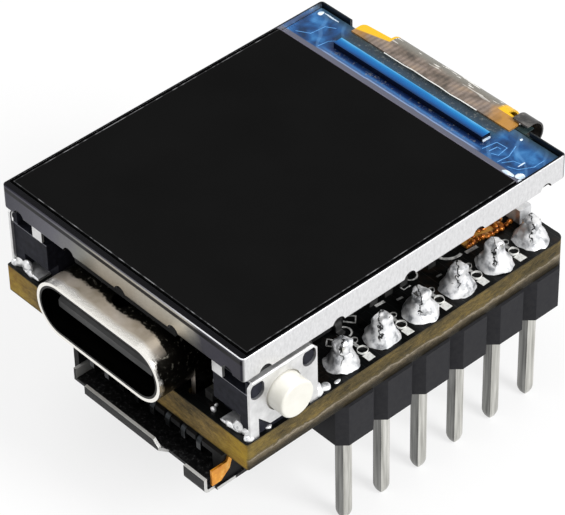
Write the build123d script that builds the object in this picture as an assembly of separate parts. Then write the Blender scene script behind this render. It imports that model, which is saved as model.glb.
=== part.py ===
from build123d import *

import os

# Small development board: a display over a circuit board that stands on two rows of header pins.
# Lengths are millimetres. While the pieces are shaped, X runs across the board, Y runs to the back
# and Z = 0 is the board's top face. The whole is then set down with its pin tips on Z = 0.

# Circuit board
BOARD_WIDTH = 17.4
BOARD_LENGTH = 21.0
BOARD_THICKNESS = 1.6
BOARD_FRONT_CORNER = 0.12
BOARD_BACK_CORNER = 0.5

# Pin headers
PIN_PITCH = 2.54
PINS_PER_ROW = 6
ROW_SPACING = 15.24
PIN_WIDTH = 0.64
PIN_LENGTH = 11.6
PIN_ABOVE_BOARD = 1.25
PIN_POINT_LENGTH = 0.25
PIN_POINT_WIDTH = 0.34
INSULATOR_WIDTH = 2.5
INSULATOR_HEIGHT = 2.5
GROOVE_DEPTH = 0.45
GROOVE_WIDTH = 0.97
PLATED_HOLE_RADIUS = 0.5
SOLDER_FOOT_RADIUS = 0.85
SOLDER_WAIST_RADIUS = 0.57
SOLDER_TOP_RADIUS = 0.46
SOLDER_HEIGHT = 1.05
SOLDER_WAIST_HEIGHT = 0.37

# Display module
DISPLAY_WIDTH = 17.1
DISPLAY_LENGTH = 20.9
DISPLAY_SETBACK = 0.05
DISPLAY_GAP = 3.72
FRAME_SHEET = 0.13
FRAME_CORNER = 0.22
FRAME_BEND = 0.14
FRAME_LIP = 0.35
FRAME_RIM_ROUND = 0.07
FRAME_LIP_THICKNESS = 0.1
NOTCH_RADIUS = 0.38
SIDE_NOTCHES = 5
SIDE_NOTCH_PITCH = 4.55
FRONT_NOTCHES = 5
FRONT_NOTCH_PITCH = 3.72
FLEX_GAP_LEFT = -6.3
FLEX_GAP_RIGHT = 6.2
FLEX_GAP_DEPTH = 0.75
GLASS_CLEARANCE = 0.03
TRAY_WALL = 0.45
REFLECTOR_THICKNESS = 0.06
GUIDE_THICKNESS = 0.5
FILM_THICKNESS = 0.17
REAR_POLARISER_THICKNESS = 0.1
GLASS_THICKNESS = 0.2
POLARISER_THICKNESS = 0.12
POLARISER_LENGTH = 17.3
FRONT_GLASS_OVERHANG = 0.15
LED_COUNT = 3
LED_PITCH = 4.2
LED_LENGTH = 2.0
LED_DEPTH = 0.6
LED_HEIGHT = 0.45

# Driver chip on the glass ledge
DRIVER_LENGTH = 10.4
DRIVER_WIDTH = 0.56
DRIVER_HEIGHT = 0.33
DRIVER_OFFSET_X = -0.35
DRIVER_FROM_BACK = 1.74

# A strip that folds back on itself takes this share of the room for its two arcs
FOLD_SHARE = 0.98

# Flexible cables
FLEX_THICKNESS = 0.1
FLEX_BOND_LEFT = -5.85
FLEX_BOND_RIGHT = 5.2
FLEX_TAIL_LEFT = -4.0
FLEX_TAIL_RIGHT = 4.2
FLEX_END_HALF_WIDTH = 6.0
FLEX_BOND_LENGTH = 0.35
FLEX_BEND_RADIUS = 0.75
FLEX_REACH = 1.25
FLEX_DROP_Y = 9.35
FLEX_DROP_RADIUS = 0.5
FLEX_END_Y = 6.4
SHOULDER_LENGTH = 0.5
SHOULDER_ROUND = 0.3
BACKLIGHT_FLEX_LEFT = 4.8
BACKLIGHT_FLEX_RIGHT = 5.8
BACKLIGHT_FLEX_RISE = 0.2
BACKLIGHT_FLEX_START_Y = 10.6
BACKLIGHT_FLEX_END_Y = 9.7

# Charging and data port
PORT_WIDTH = 8.84
PORT_HEIGHT = 3.2
PORT_LENGTH = 7.3
PORT_SHEET = 0.3
PORT_OVERHANG = 1.47
PORT_LEG_DEPTH = 1.2
PORT_LEG_WIDTH = 0.9
PORT_FRONT_LEG = 2.6
PORT_REAR_LEG = 6.6
PORT_LEG_CLEARANCE = 0.1
PORT_WINDOW_RADIUS = 0.55
PORT_WINDOW_FROM_MOUTH = 1.15
LATCH_SPACING = 5.0
LATCH_WIDTH = 0.8
LATCH_LENGTH = 2.0
LATCH_SLIT = 0.15
LATCH_FROM_MOUTH = 2.4
PORT_CORE_LENGTH = 1.7
PORT_CORE_CLEARANCE = 0.02
TONGUE_WIDTH = 6.7
TONGUE_THICKNESS = 0.7
TONGUE_TIP_CHAMFER = 0.15
TONGUE_RECESS = 0.45
TONGUE_ROOT_THICKNESS = 1.2
TONGUE_ROOT_LENGTH = 1.2
PORT_CONTACTS = 12
PORT_CONTACT_PITCH = 0.5
PORT_CONTACT_WIDTH = 0.24
PORT_CONTACT_THICKNESS = 0.1
PORT_CONTACT_BEND = 0.15
PORT_CONTACT_RECESS = 0.85
PORT_TAIL_LENGTH = 0.7

# Side push switches
SWITCH_LENGTH = 4.2
SWITCH_DEPTH = 2.65
SWITCH_INSET = 0.08
SWITCH_FROM_FRONT = 0.31
COVER_HEIGHT = 3.5
COVER_SHEET = 0.15
COVER_TOP_CORNER = 0.25
COVER_BEND = 0.12
COVER_LOWER_EDGE = 0.4
COVER_LEG_WIDTH = 0.52
COVER_LEG_TOP = 1.15
COVER_LEG_SLANT = 0.7
COVER_TAB_LENGTH = 0.7
COVER_TAB_DROP = 0.7
COVER_TAB_FROM_REAR = 0.12
BODY_SHOULDER_HEIGHT = 2.6
BODY_SHOULDER_WIDTH = 0.5
BODY_RECESS_HEIGHT = 1.0
BODY_RECESS_DEPTH = 0.6
BODY_RECESS_FROM_FACE = 0.7
PEG_SPACING = 3.2
PEG_Z = 2.93
PEG_RADIUS = 0.34
PEG_STAND = 0.08
PEG_HOLE_WIDTH = 0.84
PEG_HOLE_HEIGHT = 1.04
PLUNGER_Z = 1.94
PLUNGER_RADIUS = 1.0
PLUNGER_CLEARANCE = 0.08
PLUNGER_STAND = 0.95
PLUNGER_ROUND = 0.12
PLUNGER_FLANGE_RADIUS = 1.2
PLUNGER_FLANGE_THICKNESS = 0.3
PLUNGER_BACK_GAP = 0.03
PLUNGER_STEM_RADIUS = 0.5
PLUNGER_STEM_LENGTH = 0.35
PLUNGER_TRAVEL = 0.25
DOME_GAP = 0.05
DOME_CLEARANCE = 0.05
DOME_RISE = 0.25
DOME_THICKNESS = 0.08
TERMINAL_WIDTH = 1.2
TERMINAL_HEIGHT = 0.15
TERMINAL_REACH = 0.15
TERMINAL_FROM_FACE = 0.8

# Card socket under the front edge
SOCKET_LEFT = -5.3
SOCKET_RIGHT = 7.13
SOCKET_OVERHANG = 1.2
SOCKET_LENGTH = 6.7
SOCKET_HEIGHT = 2.0
SOCKET_SHEET = 0.18
SOCKET_STEP_X = -3.6
SOCKET_STEP_Y = 2.7
SOCKET_BACK_WALL = 0.5
CARD_WIDTH = 9.7
CARD_SLOT_RIGHT = 6.45
CEILING_THICKNESS = 0.3
CEILING_SETBACK = 1.0
LONG_LIP_LEFT = -1.65
LONG_LIP_RIGHT = 3.7
LONG_LIP_TOP_DROP = 0.95
LONG_LIP_BOTTOM_DROP = 1.45
LONG_LIP_SLANT = 0.35
SHORT_LIP_LEFT = 5.5
SHORT_LIP_RIGHT = 6.95
SHORT_LIP_TOP_DROP = 1.1
SHORT_LIP_BEND = 0.3
LIP_SETBACK = 0.65
SIDE_LIP_TOP_DROP = 1.25
SOCKET_CONTACTS = 8
SOCKET_CONTACT_PITCH = 1.1
SOCKET_CONTACT_RIGHT = 5.5
SOCKET_CONTACT_WIDTH = 0.3
SOCKET_CONTACT_SHEET = 0.1
SOCKET_CONTACT_CLEARANCE = 0.08
CURL_RADIUS = 0.28
CURL_HEIGHT = 0.85
CURL_INSIDE_EDGE = 0.1
CONTACT_RUN = 2.0
CONTACT_DIP = 0.55
CONTACT_DIP_RUN = 1.6
CONTACT_TIP_RUN = 0.6
POCKET_LENGTH = 2.3
POCKET_ROOF = 0.1
SIDE_SPRING_SHEET = 0.12
SIDE_SPRING_FROM_SLOT = 0.58
SIDE_SPRING_HEIGHT = 0.95
SIDE_SPRING_INSET = 0.33
SIDE_SPRING_LIFT = 0.3
SIDE_SPRING_FOOT = 0.55
SIDE_SPRING_FINGER = 0.3
SIDE_SPRING_REACH = 1.25
SOCKET_EAR_WIDTH = 1.1
SOCKET_EAR_REACH = 0.85
SOCKET_EAR_GAP = 1.0

# Parts on the board under the display
MAIN_CHIP_SIDE = 7.0
MAIN_CHIP_HEIGHT = 0.85
EDGE_CAPACITOR_INSET = 1.3
MAIN_CHIP_Y = 1.9
MAIN_CHIP_PAD_MARGIN = 0.7
MAIN_CHIP_MARK_RADIUS = 0.3
MAIN_CHIP_MARK_INSET = 0.9
CHIP_PAD_SHEET = 0.05
CRYSTAL_SIZE = (2.0, 1.6, 0.55)
CRYSTAL_AT = (-5.2, 3.4)
CRYSTAL_LID_HEIGHT = 0.17
CRYSTAL_LID_INSET = 0.12
REGULATOR_SIZE = (1.6, 2.9, 1.1)
REGULATOR_AT = (5.0, -3.2)
REGULATOR_LEAD_PITCH = 0.95
REGULATOR_LEAD_WIDTH = 0.4
REGULATOR_LEAD_KNEE = 0.2
REGULATOR_LEAD_REACH = 0.5
REGULATOR_LEAD_THICKNESS = 0.15
CHIP_LENGTH = 1.0
CHIP_WIDTH = 0.5
CAPACITOR_HEIGHT = 0.5
RESISTOR_HEIGHT = 0.35
CHIP_END_LENGTH = 0.25
ANTENNA_SIZE = (1.6, 0.8, 0.85)
ANTENNA_END_LENGTH = 0.3
ANTENNA_RIGHT = 6.5
ANTENNA_FROM_BACK = 0.15
FOAM_MARGIN = 0.35
PORT_FOAM_WIDTH = 7.2
PORT_FOAM_LENGTH = 4.5
PORT_FOAM_SETBACK = 0.25

# Levels and edges that follow from the sizes above
BOARD_EDGE = BOARD_WIDTH / 2
BOARD_FRONT = -BOARD_LENGTH / 2
BOARD_BACK = BOARD_LENGTH / 2
BOARD_BOTTOM = -BOARD_THICKNESS
PIN_TIP_Z = PIN_ABOVE_BOARD - PIN_LENGTH
PIN_YS = [BOARD_BACK - PIN_PITCH * (k + 0.5) for k in range(PINS_PER_ROW)]

DISPLAY_FRONT = BOARD_FRONT + DISPLAY_SETBACK
DISPLAY_BACK = DISPLAY_FRONT + DISPLAY_LENGTH
DISPLAY_MID_Y = (DISPLAY_FRONT + DISPLAY_BACK) / 2
GUIDE_Z = DISPLAY_GAP + FRAME_SHEET + REFLECTOR_THICKNESS
FILM_Z = GUIDE_Z + GUIDE_THICKNESS
REAR_POLARISER_Z = FILM_Z + FILM_THICKNESS
BACK_GLASS_Z = REAR_POLARISER_Z + REAR_POLARISER_THICKNESS
LEDGE_Z = BACK_GLASS_Z + GLASS_THICKNESS
POLARISER_Z = LEDGE_Z + GLASS_THICKNESS
DISPLAY_TOP = POLARISER_Z + POLARISER_THICKNESS
INNER_WIDTH = DISPLAY_WIDTH - 2 * FRAME_SHEET
INNER_FRONT = DISPLAY_FRONT + FRAME_SHEET
INNER_BACK = DISPLAY_BACK - FRAME_SHEET
POLARISER_FRONT = DISPLAY_FRONT + FRAME_LIP + GLASS_CLEARANCE
POLARISER_BACK = POLARISER_FRONT + POLARISER_LENGTH
CAVITY_WIDTH = INNER_WIDTH - 2 * TRAY_WALL
CAVITY_FRONT = INNER_FRONT + TRAY_WALL
CAVITY_BACK = INNER_BACK - TRAY_WALL
GUIDE_BACK = CAVITY_BACK - LED_DEPTH - GLASS_CLEARANCE

PORT_MOUTH = BOARD_FRONT - PORT_OVERHANG
PORT_BACK = PORT_MOUTH + PORT_LENGTH
PORT_MID_Z = PORT_HEIGHT / 2

SWITCH_FACE = BOARD_EDGE - SWITCH_INSET
SWITCH_REAR = SWITCH_FACE - SWITCH_DEPTH
SWITCH_FRONT = BOARD_FRONT + SWITCH_FROM_FRONT
SWITCH_BACK = SWITCH_FRONT + SWITCH_LENGTH
SWITCH_Y = (SWITCH_FRONT + SWITCH_BACK) / 2
BODY_FACE = SWITCH_FACE - COVER_SHEET
BODY_FRONT = SWITCH_FRONT + COVER_SHEET
BODY_BACK = SWITCH_BACK - COVER_SHEET
BODY_TOP = COVER_HEIGHT - COVER_SHEET
FLANGE_OUTER = BODY_FACE - PLUNGER_BACK_GAP
FLANGE_INNER = FLANGE_OUTER - PLUNGER_FLANGE_THICKNESS
STEM_END = FLANGE_INNER - PLUNGER_STEM_LENGTH
DOME_TOP = STEM_END - PLUNGER_TRAVEL - DOME_GAP
DOME_SEAT = DOME_TOP - DOME_RISE - DOME_THICKNESS

SOCKET_FRONT = BOARD_FRONT - SOCKET_OVERHANG
SOCKET_BACK = SOCKET_FRONT + SOCKET_LENGTH
SOCKET_BOTTOM = BOARD_BOTTOM - SOCKET_HEIGHT
SOCKET_FLOOR = SOCKET_BOTTOM + SOCKET_SHEET
CARD_CEILING = BOARD_BOTTOM - CEILING_THICKNESS
CARD_SLOT_LEFT = CARD_SLOT_RIGHT - CARD_WIDTH
STEP_Y = SOCKET_FRONT + SOCKET_STEP_Y
POCKET_BACK = SOCKET_FRONT + POCKET_LENGTH
CURL_Y = BOARD_FRONT + CURL_INSIDE_EDGE
CONTACT_XS = [SOCKET_CONTACT_RIGHT - k * SOCKET_CONTACT_PITCH for k in range(SOCKET_CONTACTS)]

FLEX_PEAK_Y = DISPLAY_BACK + FLEX_REACH
FLEX_TOP_Z = LEDGE_Z + FLEX_THICKNESS / 2
FLEX_UNDER_Z = FLEX_TOP_Z - 2 * FLEX_BEND_RADIUS

# The finished origin lies under the middle of the outline, at the pin tips
MODEL_FRONT = PORT_MOUTH
MODEL_BACK = FLEX_PEAK_Y + FLEX_THICKNESS / 2
SET_DOWN = Pos(0, -(MODEL_FRONT + MODEL_BACK) / 2, -PIN_TIP_Z)


def block(xs, ys, zs):
    """A box between two corners."""
    middle = [(low + high) / 2 for low, high in (xs, ys, zs)]
    size = [high - low for low, high in (xs, ys, zs)]
    return Pos(*middle) * Box(*size)


def polygon(points):
    """A flat face with straight edges."""
    return make_face(Polyline(*points, close=True))


def raised(sketch, low, high):
    """A sketch in X and Y, made solid between two heights."""
    return extrude(Pos(0, 0, low) * sketch, amount=high - low)


def crosswise(sketch, left, right):
    """A sketch in Y and Z, made solid between two places across the board."""
    return extrude(Plane.YZ.offset(left) * sketch, amount=right - left)


def lengthwise(sketch, front, back):
    """A sketch in X and Z, made solid between two places along the board."""
    return extrude(Plane.XZ.offset(-front) * sketch, amount=front - back)


def rounded_slab(width, front, back, corner, low, high):
    """A slab with rounded corners, centred across the board."""
    outline = Pos(0, (front + back) / 2) * RectangleRounded(width, back - front, corner)
    return raised(outline, low, high)


def strip(path, thickness, left, right):
    """A bent strip of even thickness: its path is in Y and Z."""
    return crosswise(trace(path, thickness), left, right)


def joined(pieces):
    """Several solids as one group."""
    return Compound(children=[solid for piece in pieces for solid in piece.solids()])


def fused(pieces):
    """Several touching solids as one."""
    whole = pieces[0]
    for piece in pieces[1:]:
        whole = whole + piece
    return whole


def mirrored(shape):
    """The same piece on the other side of the board."""
    return mirror(shape, about=Plane.YZ)


# Circuit board

def port_leg_places():
    """Where the shell's four legs stand: side and distance along the board."""
    rows = (PORT_MOUTH + PORT_FRONT_LEG, PORT_MOUTH + PORT_REAR_LEG)
    return [(side, y) for side in (-1, 1) for y in rows]


def board_outline():
    """The board from above: sharp corners at the front, rounder ones at the back."""
    half = BOARD_WIDTH / 2
    outline = polygon([
        (-half, BOARD_FRONT),
        (half, BOARD_FRONT),
        (half, BOARD_BACK),
        (-half, BOARD_BACK),
    ])
    outline = fillet(outline.vertices().group_by(Axis.Y)[0], BOARD_FRONT_CORNER)
    return fillet(outline.vertices().group_by(Axis.Y)[-1], BOARD_BACK_CORNER)


def make_board():
    board = raised(board_outline(), BOARD_BOTTOM, 0)
    hole = Pos(0, 0, BOARD_BOTTOM / 2) * Cylinder(PLATED_HOLE_RADIUS, BOARD_THICKNESS)
    for side in (-1, 1):
        for y in PIN_YS:
            board -= Pos(side * ROW_SPACING / 2, y) * hole
    leg_x = PORT_WIDTH / 2 - PORT_SHEET / 2
    slot_length = PORT_LEG_WIDTH + 2 * PORT_LEG_CLEARANCE + PORT_SHEET
    slot_width = PORT_SHEET + 2 * PORT_LEG_CLEARANCE
    for side, y in port_leg_places():
        outline = Pos(side * leg_x, y) * Rot(0, 0, 90) * SlotOverall(slot_length, slot_width)
        board -= raised(outline, BOARD_BOTTOM, 0)
    return board


# Pin headers

def make_pin():
    """A square pin, tapered at both ends, with its upper end above the board."""
    low = PIN_TIP_Z + PIN_POINT_LENGTH
    high = PIN_ABOVE_BOARD - PIN_POINT_LENGTH
    square = Rectangle(PIN_WIDTH, PIN_WIDTH)
    point = Rectangle(PIN_POINT_WIDTH, PIN_POINT_WIDTH)
    shaft = raised(square, low, high)
    lower = loft([Pos(0, 0, PIN_TIP_Z) * point, Pos(0, 0, low) * square])
    upper = loft([Pos(0, 0, high) * square, Pos(0, 0, PIN_ABOVE_BOARD) * point])
    return fused([shaft, lower, upper])


def make_insulator_block():
    """One block of the header strip: an octagon with a square hole for its pin."""
    half_width = INSULATOR_WIDTH / 2
    half_pitch = PIN_PITCH / 2
    flat = half_pitch - GROOVE_WIDTH / 2
    waist = half_width - GROOVE_DEPTH
    corner = [(half_width, flat), (waist, half_pitch), (-waist, half_pitch), (-half_width, flat)]
    outline = polygon(corner + [(-x, -y) for x, y in corner])
    low = BOARD_BOTTOM - INSULATOR_HEIGHT
    return raised(outline - Rectangle(PIN_WIDTH, PIN_WIDTH), low, BOARD_BOTTOM)


def make_solder_joint():
    """A fillet of solder that climbs the pin, with the plug that fills the plated hole."""
    hollow = ThreePointArc(
        (SOLDER_FOOT_RADIUS, 0),
        (SOLDER_WAIST_RADIUS, SOLDER_WAIST_HEIGHT),
        (SOLDER_TOP_RADIUS, SOLDER_HEIGHT),
    )
    rest = Polyline(
        (SOLDER_TOP_RADIUS, SOLDER_HEIGHT),
        (0, SOLDER_HEIGHT),
        (0, BOARD_BOTTOM),
        (PLATED_HOLE_RADIUS, BOARD_BOTTOM),
        (PLATED_HOLE_RADIUS, 0),
        (SOLDER_FOOT_RADIUS, 0),
    )
    joint = revolve(Plane.XZ * make_face(hollow + rest), Axis.Z)
    return joint - raised(Rectangle(PIN_WIDTH, PIN_WIDTH), BOARD_BOTTOM, SOLDER_HEIGHT)


def make_header(side):
    """Insulator, pins and solder of one row."""
    places = [Pos(side * ROW_SPACING / 2, y) for y in PIN_YS]
    unit, pin, joint = make_insulator_block(), make_pin(), make_solder_joint()
    insulator = fused([place * unit for place in places])
    pins = joined([place * pin for place in places])
    solder = joined([place * joint for place in places])
    return insulator, pins, solder


# Display module

def make_frame():
    """Folded sheet tray: notched bends, a lip over the front glass, a gap behind for the flex."""
    walls = (DISPLAY_FRONT, DISPLAY_BACK)
    outer = rounded_slab(DISPLAY_WIDTH, *walls, FRAME_CORNER, DISPLAY_GAP, DISPLAY_TOP)
    outer = fillet(outer.faces().sort_by(Axis.Z)[0].edges(), FRAME_BEND)
    outer = fillet(outer.faces().sort_by(Axis.Z)[-1].edges(), FRAME_RIM_ROUND)
    inner_corner = FRAME_CORNER - FRAME_SHEET
    floor_top = DISPLAY_GAP + FRAME_SHEET
    under_lip = DISPLAY_TOP - FRAME_LIP_THICKNESS
    inner = (INNER_FRONT, INNER_BACK)
    frame = outer - rounded_slab(INNER_WIDTH, *inner, inner_corner, floor_top, under_lip)
    half = INNER_WIDTH / 2
    frame -= block((-half, half), (DISPLAY_FRONT + FRAME_LIP, INNER_BACK), (under_lip, DISPLAY_TOP))
    frame -= block(
        (FLEX_GAP_LEFT, FLEX_GAP_RIGHT),
        (INNER_BACK - FRAME_SHEET, DISPLAY_BACK),
        (DISPLAY_TOP - FLEX_GAP_DEPTH, DISPLAY_TOP),
    )
    reach = 2 * FRAME_BEND
    for y in centred_steps(SIDE_NOTCHES, SIDE_NOTCH_PITCH, DISPLAY_MID_Y):
        disc = Pos(y, DISPLAY_GAP) * Circle(NOTCH_RADIUS)
        for edge in (DISPLAY_WIDTH / 2, reach - DISPLAY_WIDTH / 2):
            frame -= crosswise(disc, edge - reach, edge)
    for x in centred_steps(FRONT_NOTCHES, FRONT_NOTCH_PITCH, 0):
        disc = Pos(x, DISPLAY_GAP) * Circle(NOTCH_RADIUS)
        frame -= lengthwise(disc, DISPLAY_FRONT, DISPLAY_FRONT + reach)
    return frame


def centred_steps(count, pitch, middle):
    """Evenly spaced places about a middle."""
    return [middle + pitch * (k - (count - 1) / 2) for k in range(count)]


def make_tray():
    """Moulded ring that holds the light guide and films and carries the glass."""
    low = DISPLAY_GAP + FRAME_SHEET
    corner = FRAME_CORNER - FRAME_SHEET
    ring = rounded_slab(INNER_WIDTH, INNER_FRONT, INNER_BACK, corner, low, BACK_GLASS_Z)
    half = CAVITY_WIDTH / 2
    return ring - block((-half, half), (CAVITY_FRONT, CAVITY_BACK), (low, BACK_GLASS_Z))


def cavity_sheet(low, thickness, back=None):
    """A sheet that fills the tray's opening."""
    half = CAVITY_WIDTH / 2
    edge = CAVITY_BACK if back is None else back
    return block((-half, half), (CAVITY_FRONT, edge), (low, low + thickness))


def make_leds():
    """Light sources between the guide's back edge and the tray's wall."""
    ys = (GUIDE_BACK + GLASS_CLEARANCE, CAVITY_BACK)
    xs = centred_steps(LED_COUNT, LED_PITCH, 0)
    half = LED_LENGTH / 2
    return joined([block((x - half, x + half), ys, (GUIDE_Z, GUIDE_Z + LED_HEIGHT)) for x in xs])


def glass_sheet(front, back, low, thickness):
    """A plate that fits inside the frame's walls and corners."""
    width = INNER_WIDTH - 2 * GLASS_CLEARANCE
    return rounded_slab(width, front, back, FRAME_CORNER - FRAME_SHEET, low, low + thickness)


def make_driver():
    half = DRIVER_LENGTH / 2
    middle = DISPLAY_BACK - DRIVER_FROM_BACK
    return block(
        (DRIVER_OFFSET_X - half, DRIVER_OFFSET_X + half),
        (middle - DRIVER_WIDTH / 2, middle + DRIVER_WIDTH / 2),
        (LEDGE_Z, LEDGE_Z + DRIVER_HEIGHT),
    )


def make_display_flex():
    """Ribbon from the glass ledge, round the back of the frame, down to its pads on the board."""
    fold = FLEX_BEND_RADIUS * FOLD_SHARE
    fold_start = FLEX_PEAK_Y - FLEX_BEND_RADIUS
    board_z = FLEX_THICKNESS / 2
    path = FilletPolyline(
        (fold_start, FLEX_TOP_Z),
        (FLEX_PEAK_Y, FLEX_TOP_Z),
        (FLEX_PEAK_Y, FLEX_UNDER_Z),
        (FLEX_DROP_Y, FLEX_UNDER_Z),
        (FLEX_DROP_Y, board_z),
        (FLEX_END_Y, board_z),
        radius=[fold, fold, FLEX_DROP_RADIUS, FLEX_DROP_RADIUS],
    )
    tail = strip(path, FLEX_THICKNESS, FLEX_TAIL_LEFT, FLEX_TAIL_RIGHT)
    pad_ys = (FLEX_END_Y, FLEX_DROP_Y - FLEX_DROP_RADIUS)
    pads = block((-FLEX_END_HALF_WIDTH, FLEX_END_HALF_WIDTH), pad_ys, (0, FLEX_THICKNESS))
    return tail + raised(bond_outline(fold_start), LEDGE_Z, LEDGE_Z + FLEX_THICKNESS) + pads


def bond_outline(fold_start):
    """The ribbon's wide end on the ledge, with round shoulders where it narrows to the fold."""
    front = INNER_BACK - GLASS_CLEARANCE - FLEX_BOND_LENGTH
    back = INNER_BACK + SHOULDER_LENGTH
    outline = polygon([
        (FLEX_BOND_LEFT, front),
        (FLEX_BOND_RIGHT, front),
        (FLEX_BOND_RIGHT, back),
        (FLEX_TAIL_RIGHT, fold_start),
        (FLEX_TAIL_LEFT, fold_start),
        (FLEX_BOND_LEFT, back),
    ])
    shoulders = outline.vertices().group_by(Axis.Y)[1]
    return fillet(shoulders, SHOULDER_ROUND)


def make_backlight_flex():
    """Narrow dark tail beside the ribbon: it curls over the back edge and ends under the frame."""
    top = FLEX_TOP_Z + BACKLIGHT_FLEX_RISE
    under = DISPLAY_GAP - FLEX_THICKNESS / 2
    fold = (top - under) / 2 * FOLD_SHARE
    path = FilletPolyline(
        (BACKLIGHT_FLEX_START_Y, top),
        (FLEX_PEAK_Y, top),
        (FLEX_PEAK_Y, under),
        (BACKLIGHT_FLEX_END_Y, under),
        radius=fold,
    )
    return strip(path, FLEX_THICKNESS, BACKLIGHT_FLEX_LEFT, BACKLIGHT_FLEX_RIGHT)


# Charging and data port

def port_section(inset):
    """The port's oblong outline, drawn in by an inset."""
    width = PORT_WIDTH - 2 * inset
    return Pos(0, PORT_MID_Z) * SlotOverall(width, PORT_HEIGHT - 2 * inset)


def make_port_shell():
    """Drawn tube with four legs, a round window and two latch tongues cut in its top."""
    shell = lengthwise(port_section(0) - port_section(PORT_SHEET), PORT_MOUTH, PORT_BACK)
    outer = PORT_WIDTH / 2
    for side, y in port_leg_places():
        xs = sorted((side * outer, side * (outer - PORT_SHEET)))
        half = PORT_LEG_WIDTH / 2
        shell += block(xs, (y - half, y + half), (-PORT_LEG_DEPTH, PORT_MID_Z))
    sheet = (PORT_HEIGHT - PORT_SHEET, PORT_HEIGHT)
    window = Pos(0, PORT_MOUTH + PORT_WINDOW_FROM_MOUTH + PORT_WINDOW_RADIUS)
    shell -= raised(window * Circle(PORT_WINDOW_RADIUS), *sheet)
    for side in (-1, 1):
        middle = side * LATCH_SPACING / 2
        front = PORT_MOUTH + LATCH_FROM_MOUTH
        back = front + LATCH_LENGTH
        opening = LATCH_WIDTH / 2 + LATCH_SLIT
        cut = block((middle - opening, middle + opening), (front - LATCH_SLIT, back), sheet)
        half = LATCH_WIDTH / 2
        cut -= block((middle - half, middle + half), (front, back), sheet)
        shell -= cut
    return shell


def make_port_contact(x):
    """One contact: along the tongue's upper face, through the core and down to the board."""
    height = PORT_MID_Z + TONGUE_THICKNESS / 2 + PORT_CONTACT_THICKNESS / 2
    tail = PORT_BACK + PORT_TAIL_LENGTH / 2
    path = FilletPolyline(
        (PORT_MOUTH + PORT_CONTACT_RECESS, height),
        (tail, height),
        (tail, PORT_CONTACT_THICKNESS / 2),
        (tail + PORT_TAIL_LENGTH, PORT_CONTACT_THICKNESS / 2),
        radius=PORT_CONTACT_BEND,
    )
    half = PORT_CONTACT_WIDTH / 2
    return strip(path, PORT_CONTACT_THICKNESS, x - half, x + half)


def make_port_core(contacts):
    """Moulded core that closes the shell's back, with the tongue that carries the contacts."""
    section = port_section(PORT_SHEET + PORT_CORE_CLEARANCE)
    core_front = PORT_BACK - PORT_CORE_LENGTH
    core = lengthwise(section, core_front, PORT_BACK)
    half = TONGUE_WIDTH / 2
    tip = PORT_MOUTH + TONGUE_RECESS
    thin = TONGUE_THICKNESS / 2
    thick = TONGUE_ROOT_THICKNESS / 2
    root = core_front - TONGUE_ROOT_LENGTH
    upper = [
        (tip, thin - TONGUE_TIP_CHAMFER),
        (tip + TONGUE_TIP_CHAMFER, thin),
        (root, thin),
        (root, thick),
        (core_front, thick),
    ]
    outline = upper + [(y, -z) for y, z in reversed(upper)]
    tongue = crosswise(polygon([(y, PORT_MID_Z + z) for y, z in outline]), -half, half)
    core += tongue
    for contact in contacts:
        core -= contact
    return core


def make_port():
    places = centred_steps(PORT_CONTACTS, PORT_CONTACT_PITCH, 0)
    contacts = [make_port_contact(x) for x in places]
    return make_port_shell(), make_port_core(contacts), joined(contacts)


# Side push switches, drawn for the right side

def cover_outline():
    """The cover's face: clipped top corners, a leg at each end, a lower edge above the board."""
    half = [
        (0, COVER_HEIGHT),
        (SWITCH_LENGTH / 2 - COVER_TOP_CORNER, COVER_HEIGHT),
        (SWITCH_LENGTH / 2, COVER_HEIGHT - COVER_TOP_CORNER),
        (SWITCH_LENGTH / 2, 0),
        (SWITCH_LENGTH / 2 - COVER_LEG_WIDTH, 0),
        (SWITCH_LENGTH / 2 - COVER_LEG_WIDTH, COVER_LEG_TOP),
        (SWITCH_LENGTH / 2 - COVER_LEG_WIDTH - COVER_LEG_SLANT, COVER_LOWER_EDGE),
        (0, COVER_LOWER_EDGE),
    ]
    other = [(-y, z) for y, z in reversed(half[1:-1])]
    return Pos(SWITCH_Y, 0) * polygon(half[:-1] + other)


def make_switch_cover():
    """Folded sheet: face with plunger and peg holes, top plate and two side tabs."""
    face = cover_outline() - Pos(SWITCH_Y, PLUNGER_Z) * Circle(PLUNGER_RADIUS + PLUNGER_CLEARANCE)
    for y in centred_steps(2, PEG_SPACING, SWITCH_Y):
        face -= Pos(y, PEG_Z) * Rot(0, 0, 90) * SlotOverall(PEG_HOLE_HEIGHT, PEG_HOLE_WIDTH)
    cover = crosswise(face, BODY_FACE, SWITCH_FACE)
    top = (BODY_TOP, COVER_HEIGHT)
    plate = (SWITCH_FRONT + COVER_TOP_CORNER, SWITCH_BACK - COVER_TOP_CORNER)
    cover += block((SWITCH_REAR, SWITCH_FACE), plate, top)
    bend = cover.edges().filter_by(Axis.Y).group_by(Axis.X)[-1].group_by(Axis.Z)[-1]
    cover = fillet(bend, COVER_BEND)
    tab_left = SWITCH_REAR + COVER_TAB_FROM_REAR
    tab_xs = (tab_left, tab_left + COVER_TAB_LENGTH)
    tab_zs = (COVER_HEIGHT - COVER_TAB_DROP, COVER_HEIGHT)
    cover += block(tab_xs, (SWITCH_FRONT, BODY_FRONT), tab_zs)
    cover += block(tab_xs, (BODY_BACK, SWITCH_BACK), tab_zs)
    cover += block(tab_xs, (SWITCH_FRONT, SWITCH_BACK), top)
    return cover


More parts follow.
